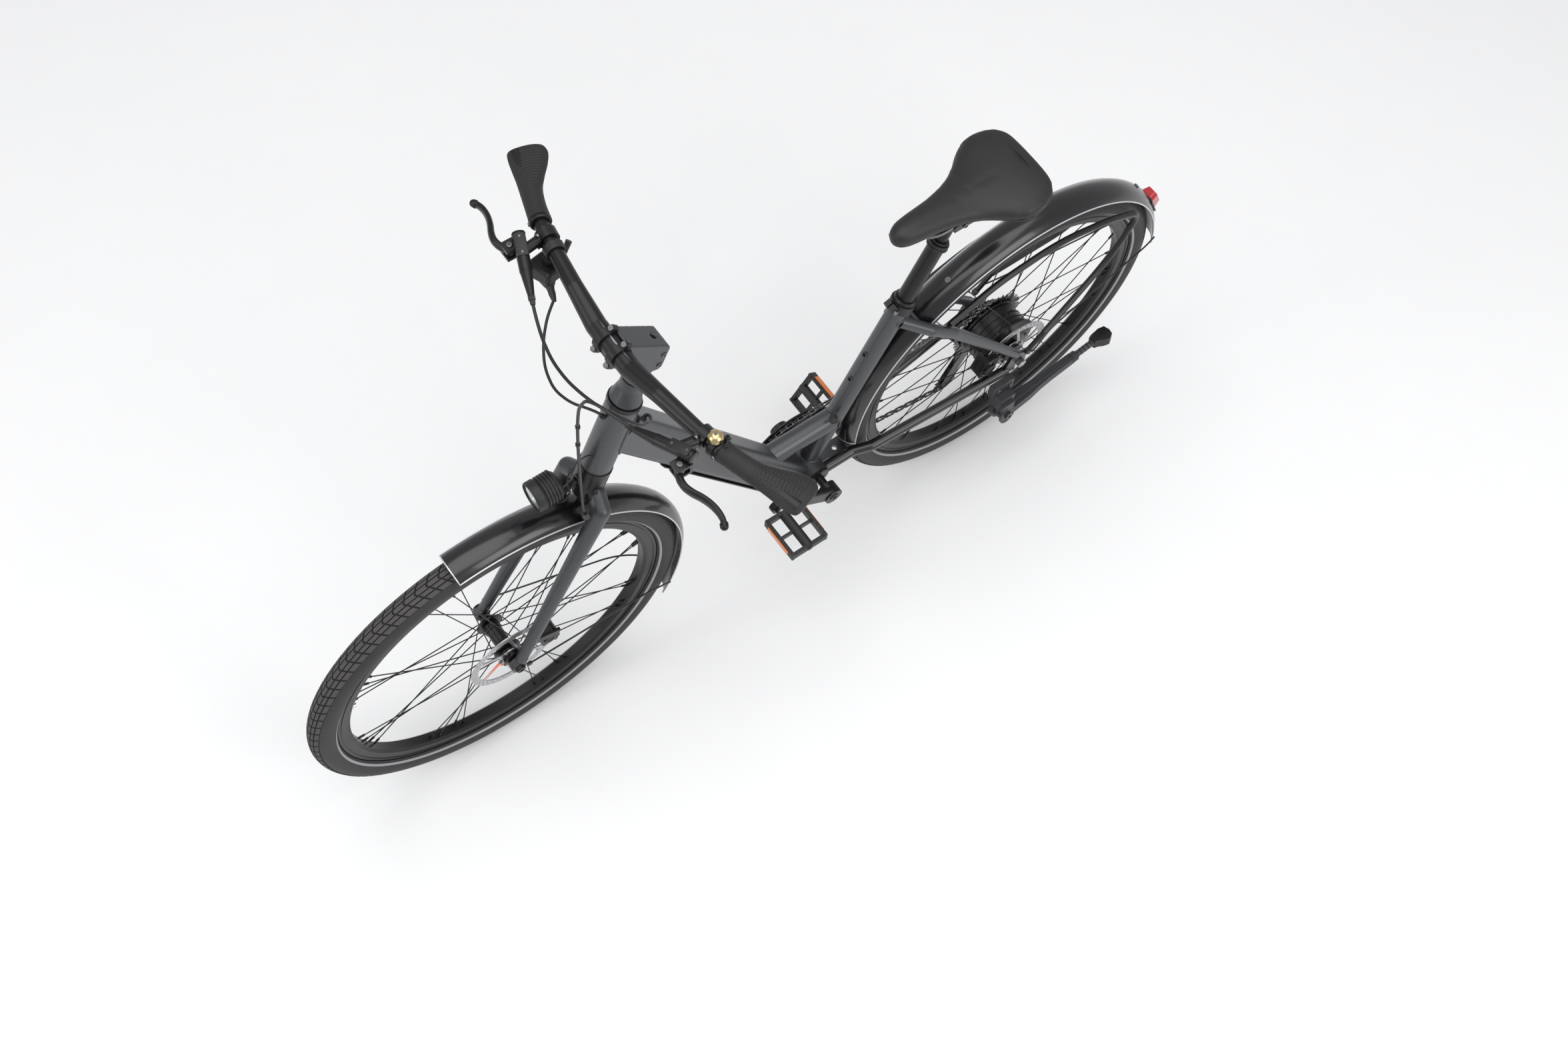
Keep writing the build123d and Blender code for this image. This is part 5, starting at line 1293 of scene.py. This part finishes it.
def chainRoute():
    count = len(chainWheels)
    joints = []
    for i in range(count):
        x1, z1, r1, s1 = chainWheels[i]
        x2, z2, r2, s2 = chainWheels[(i + 1) % count]
        dx, dz = x2 - x1, z2 - z1
        heading = math.atan2(dz, dx) + math.acos((s1 * r1 - s2 * r2) / math.hypot(dx, dz))
        joints.append(((x1 + s1 * r1 * math.cos(heading), z1 + s1 * r1 * math.sin(heading)),
                       (x2 + s2 * r2 * math.cos(heading), z2 + s2 * r2 * math.sin(heading))))
    path = []
    for i in range(count):
        (ax, az), (bx, bz) = joints[i]
        path += [(ax + (bx - ax) * k / 60, az + (bz - az) * k / 60) for k in range(60)]
        x, z, r, s = chainWheels[(i + 1) % count]
        start, end = joints[i][1], joints[(i + 1) % count][0]
        a1, a2 = math.atan2(start[1] - z, start[0] - x), math.atan2(end[1] - z, end[0] - x)
        turn = (a2 - a1) % (2 * math.pi) if s < 0 else (a1 - a2) % (2 * math.pi)
        for k in range(40):
            a = a1 + turn * k / 40 * (1 if s < 0 else -1)
            path.append((x + r * math.cos(a), z + r * math.sin(a)))
    return path


def makeChain():
    path = chainRoute()
    lengths = [0.0]
    for i in range(len(path)):
        a, b = path[i], path[(i + 1) % len(path)]
        lengths.append(lengths[-1] + math.hypot(b[0] - a[0], b[1] - a[1]))
    total = lengths[-1]
    count = 2 * round(total / pitch / 2)
    pins, k = [], 0
    for i in range(count):
        goal = total * i / count
        while lengths[k + 1] < goal:
            k += 1
        t = (goal - lengths[k]) / (lengths[k + 1] - lengths[k])
        a, b = path[k], path[(k + 1) % len(path)]
        pins.append((a[0] + (b[0] - a[0]) * t, a[1] + (b[1] - a[1]) * t))
    verts, faces = [], []

    def add(part):
        base = len(verts)
        verts.extend(part[0])
        faces.extend(tuple(base + i for i in face) for face in part[1])
    for i in range(count):
        (x1, z1), (x2, z2) = pins[i], pins[(i + 1) % count]
        run = Vector((x2 - x1, 0, z2 - z1)).normalized()
        rise = Vector((-run.z, 0, run.x))
        length = math.hypot(x2 - x1, z2 - z1)
        outline = []
        for k in range(9):
            t = math.radians(90 + 180 * k / 8)
            outline.append((4.0 * math.cos(t), 4.0 * math.sin(t)))
        outline.append((length / 2, -3.0))
        for k in range(9):
            t = math.radians(-90 + 180 * k / 8)
            outline.append((length + 4.0 * math.cos(t), 4.0 * math.sin(t)))
        outline.append((length / 2, 3.0))
        gap = 2.9 if i % 2 else 1.85
        for side in (1, -1):
            add(plate(outline, 0.9, at(x1, chainY + side * gap, z1), run, rise))
        add(lathe([(-3.7, 0.01), (-3.7, 1.7), (3.7, 1.7), (3.7, 0.01)], at(x1, chainY, z1), leftward, 10))
    return addPiece("driveChain", [((verts, faces), "darkSteel")], None,
                    stands=("chain",), angle=30,
                    blendTo=("frame", "cage", at(100, chainY, 262), at(70, chainY, 172)))


makeChain()


crank = dict(length=170, angle=38, pedalOut=138)
pedal = dict(depth=39.0, width=42.0, barHeight=9.0, barrel=9.4)


def makePedal(side, tilt, name, body, node):
    turn = math.radians(crank["angle"] if side > 0 else crank["angle"] + 180)
    centre = around(bracket, crank["length"], turn, side * crank["pedalOut"])
    spin = Matrix.Rotation(math.radians(tilt), 3, "Y")
    ahead, up = spin @ forward, spin @ upward
    depth, width, rise = pedal["depth"], pedal["width"], pedal["barHeight"]
    parts = []

    def slab(x0, x1, y0, y1, high, finish="mouldedBlack", bevel=0.06):
        cx, cy = (x0 + x1) / 2, (y0 + y1) / 2
        a, b = (x1 - x0) / 2, (y1 - y0) / 2
        cut = min(a, b) * 0.35
        outline = [(-a, -b + cut), (-a + cut, -b), (a - cut, -b), (a, -b + cut), (a, b - cut), (a - cut, b),
                   (-a + cut, b), (-a, b - cut)]
        parts.append((plate(outline, 2 * high, centre + ahead * cx * mm + leftward * cy * mm, ahead,
                            leftward, bevel), finish))
    for end in (1, -1):
        low, high = sorted((end * (depth - 7), end * (depth - 0.6)))
        slab(low, high, -width, width, rise)
        low, high = sorted((end * (width - 7), end * width))
        slab(-depth + 5, depth - 5, low, high, rise - 1.6)
        # amber lens let into the outer face of each bar
        low, high = sorted((end * (depth - 1.2), end * (depth + 1.2)))
        slab(low, high, -29, 29, 5.6, "amberLens", 0.0)
        low, high = sorted((end * 8, end * (depth - 5)))
        slab(low, high, -1.9, 1.9, rise - 3)
        for k in range(8):
            for top in (1, -1):
                spot = centre + (ahead * end * (depth - 3.8) + leftward * (-35 + 10 * k)) * mm
                knob = lathe([(rise - 1, 2.4), (rise + 1.0, 1.9), (rise + 1.5, 1.0), (rise + 1.5,
                    0.01)], spot, up * top, 10)
                parts.append((knob, "mouldedBlack"))
    rows = [(-width + 2, 0.01), (-width + 2, pedal["barrel"]), (width - 2, pedal["barrel"]), (width - 2,
                                                                                              0.01)]
    parts.append((lathe(rows, centre, leftward, 40), "mouldedBlack"))
    cap = [(width - 0.5, 0.01), (width - 0.5, 7.6), (width + 0.9, 7.0), (width + 0.9, 0.01)]
    parts.append((lathe(cap, centre, leftward * side, 32), "anodised"))
    stub = [(width - 1, 8.0), (width + 4, 8.0), (width + 5, 6.8), (width + 5, 0.01)]
    parts.append((lathe(stub, centre, leftward * -side, 32), "bareSteel"))
    return addPiece(name, parts, body, stands=(node,))


makePedal(1, 0, "pedalLeft", "pedal_left_body", "pedal_left")
makePedal(-1, 55, "pedalRight", "pedal_right_body", "pedal_right")


def drivetrainDetails():
    parts = []
    for i in range(5):
        turn = math.radians(72 * i + 36)
        spot = around(bracket, 60, turn, -50.4)
        parts.append((hexBolt(spot, -leftward, 4.6, 1.6), "darkSteel"))
    for side in (1, -1):
        rows = [(87.4, 9.5), (89.0, 9.5), (89.6, 8.8), (89.6, 4.6), (87.9, 4.4), (87.9, 0.01)]
        parts.append((lathe(rows, bracket, leftward * side, 36), "anodised"))
    ring = [(-51.4, 93.2), (-50.3, 96.3), (-48.1, 96.3), (-48.1, 92.0), (-51.0, 92.0), (-51.4, 93.2)]
    parts.append((lathe(ring, bracket, leftward, 120), "mouldedBlack"))
    addPiece("crankBolts", parts, "crankset")
    # derailleur: linkage plates, spring barrel and screws
    parts = []
    link = [(-5, 4), (0, 6.5), (40, 6.5), (46, 3), (46, -3), (40, -6.5), (0, -6.5), (-5, -4)]
    start, end = at(24, -80, 304), at(22, -70, 272)
    run = (end - start).normalized()
    across = run.cross(leftward).normalized()
    for shift in (0, 10):
        parts.append((plate(link, 2.6, start + leftward * shift * mm, run, across, 0.04), "anodised"))
    parts.append((lathe([(0, 9), (4, 11.5), (12, 11.5), (14, 9), (14, 0.01), (0, 0.01)], at(14, -74,
        266), leftward, 36), "anodised"))
    parts.append((hexBolt(at(13, -85.5, 315), -leftward, 6.6, 2.4), "darkSteel"))
    parts.append((hexBolt(at(14, -74, 266), -leftward, 5.0, 2.0), "darkSteel"))
    addPiece("derailleurLinks", parts, "frame")
    parts = []
    for x, z in ((14, 266), (52, 168)):
        parts.append((hexBolt(at(x, -50.2, z), -leftward, 4.4, 2.0), "darkSteel"))
        parts.append((hexBolt(at(x, -37.8, z), leftward, 4.0, 1.2), "darkSteel"))
    addPiece("cageBolts", parts, "cage")


drivetrainDetails()
print("drivetrain details made")


def caliperDetails(spot, facing, name, body):
    parts = []
    up = Vector((-facing.z, 0, facing.x))
    for side in (1, -1):
        rows = [(12.6, 12.4), (17.8, 12.0), (18.6, 10.8), (18.6, 6.0), (17.6, 5.6), (17.6, 0.01)]
        if side < 0:
            rows = [(12.6, 11.2), (14.1, 10.8), (14.1, 0.01)]
        parts.append((lathe(rows, spot, leftward * side, 36), "anodised"))
    for b in (-19, 19):
        parts.append((hexBolt(spot + (up * b - facing * 8) * mm + leftward * 12.8 * mm, leftward, 4.0,
                              3.2), "darkSteel"))
    fin = [(-9, 16), (-15, 16), (-19, 12), (-19, -12), (-15, -16), (-9, -16)]
    for y in (-8, -4, 4, 8):
        parts.append((plate(fin, 1.4, spot + leftward * y * mm, facing, up), "anodised"))
    return addPiece(name, parts, body)


caliperDetails(at(wheelbase - 68, 38.5, axleHeight + 16), Vector((math.cos(math.radians(10)), 0,
                                                                  -math.sin(math.radians(10)))),
               "frontCaliperDetails", "steering")
caliperDetails(at(69, 49, axleHeight + 22), Vector((-1, 0, -0.3)).normalized(), "rearCaliperDetails",
               "frame")


def standDetails():
    pivot = at(40, 98, 250)
    axis = Vector((-0.094, 1, 0.2)).normalized()
    parts = [(hexBolt(pivot + axis * 22.2 * mm, axis, 7.2, 3.0), "darkSteel")]
    reach = at(-262, 112, 246) - pivot
    reach = (reach - axis * reach.dot(axis)).normalized()
    start = pivot + axis * 4 * mm
    # broad blade that narrows along the leg, the slider collar and its grooves
    halves = [(6, 12.5), (20, 15.0), (66, 14.0), (98, 10.4), (130, 9.0), (196, 8.6)]
    outline = [(a, -h) for a, h in halves] + [(a, h) for a, h in reversed(halves)]
    parts.append((plate(outline, 15.0, start, reach, axis, 0.03), "standPaint"))
    rows = [(192, 9.2), (193, 10.6), (206, 10.6), (207, 9.0), (207, 6.6), (192, 6.6), (192, 9.2)]
    parts.append((lathe(rows, start, reach, 32), "standPaint"))
    for a in (212, 222, 232, 242, 252):
        parts.append((lathe([(a, 6.5), (a + 0.6, 7.1), (a + 2, 7.1), (a + 2.6, 6.5), (a, 6.5)], start,
                            reach, 24), "darkSteel"))
    foot = [(254, -8), (262, -10.5), (284, -12.5), (298, -9), (300, 4), (296, 15), (284, 21), (272, 17),
            (262, 10.5), (254, 8)]
    parts.append((plate(foot, 19.0, start, reach, axis, 0.05), "hoseRubber"))
    addPiece("standLegDetails", parts, "stand")
    bolts = []
    for x in (26, 54):
        bolts.append((hexBolt(at(x, 90.4, 322), leftward, 4.6, 3.4), "darkSteel"))
    addPiece("standBolts", bolts, "frame")


standDetails()
print("brakes and stand made")


def plainSurface(name, color, rough):
    material = bpy.data.materials.new(name)
    material.use_nodes = True
    tree = material.node_tree
    shader = tree.nodes["Principled BSDF"]
    grain = addNode(tree, "ShaderNodeGroup", node_tree=grainGroup)
    grain.inputs["Color"].default_value = (*color, 1)
    grain.inputs["Scale"].default_value = 60
    grain.inputs["Tone Change"].default_value = 0.02
    grain.inputs["Roughness"].default_value = rough
    tree.links.new(grain.outputs["Color"], shader.inputs["Base Color"])
    tree.links.new(grain.outputs["Roughness"], shader.inputs["Roughness"])
    return material


def makeStage():
    mesh = bpy.data.meshes.new("studioFloor")
    reach = 14.0
    count = 12
    verts = [(-reach + 2 * reach * i / count, -reach + 2 * reach * j / count,
              0) for i in range(count + 1) for j in range(count + 1)]
    faces = [(i * (count + 1) + j, (i + 1) * (count + 1) + j, (i + 1) * (count + 1) + j + 1,
              i * (count + 1) + j + 1)
             for i in range(count) for j in range(count)]
    mesh.from_pydata(verts, [], faces)
    mesh.materials.append(plainSurface("paleFloor", (0.86, 0.86, 0.86), 0.62))
    linkPiece("studioFloor", mesh)
    world = bpy.data.worlds.new("studioWorld")
    world.use_nodes = True
    world.node_tree.nodes["Background"].inputs["Color"].default_value = (0.97, 0.98, 1.0, 1)
    world.node_tree.nodes["Background"].inputs["Strength"].default_value = 0.54
    bpy.context.scene.world = world


def softLight(name, place, aim, size, power):
    light = bpy.data.lights.new(name, "AREA")
    light.shape = "RECTANGLE"
    light.size, light.size_y = size
    light.energy = power
    lightObject = linkPiece(name, light)
    lightObject.location = place
    lightObject.rotation_mode = "QUATERNION"
    lightObject.rotation_quaternion = (Vector(aim) - Vector(place)).to_track_quat("-Z", "Y")


makeStage()
softLight("overheadLight", (0.2, 0.3, 4.6), (0, 0, 0.4), (4.5, 4.5), 122)
softLight("leftLight", (-1.2, 4.2, 3.0), (0, 0, 0.5), (3.0, 2.5), 82)
softLight("frontLight", (4.2, -0.6, 2.6), (0.3, 0, 0.5), (2.5, 2.5), 52)

camera = dict(place=(0.9798, 1.0802, 3.1588), aim=(0.0514, 0.1246, 0.4387), roll=8.893, lens=40.035)


def makeCamera():
    data = bpy.data.cameras.new("studioCamera")
    data.lens = camera["lens"]
    data.sensor_width = 36
    data.clip_end = 60
    eye = linkPiece("studioCamera", data)
    heading = (Vector(camera["aim"]) - Vector(camera["place"])).normalized()
    level = heading.to_track_quat("-Z", "Y").to_matrix()
    eye.rotation_mode = "QUATERNION"
    eye.rotation_quaternion = (Matrix.Rotation(math.radians(-camera["roll"]), 3,
                                               heading) @ level).to_quaternion()
    eye.location = camera["place"]
    bpy.context.scene.camera = eye


makeCamera()
bpy.context.scene.view_settings.view_transform = "Standard"
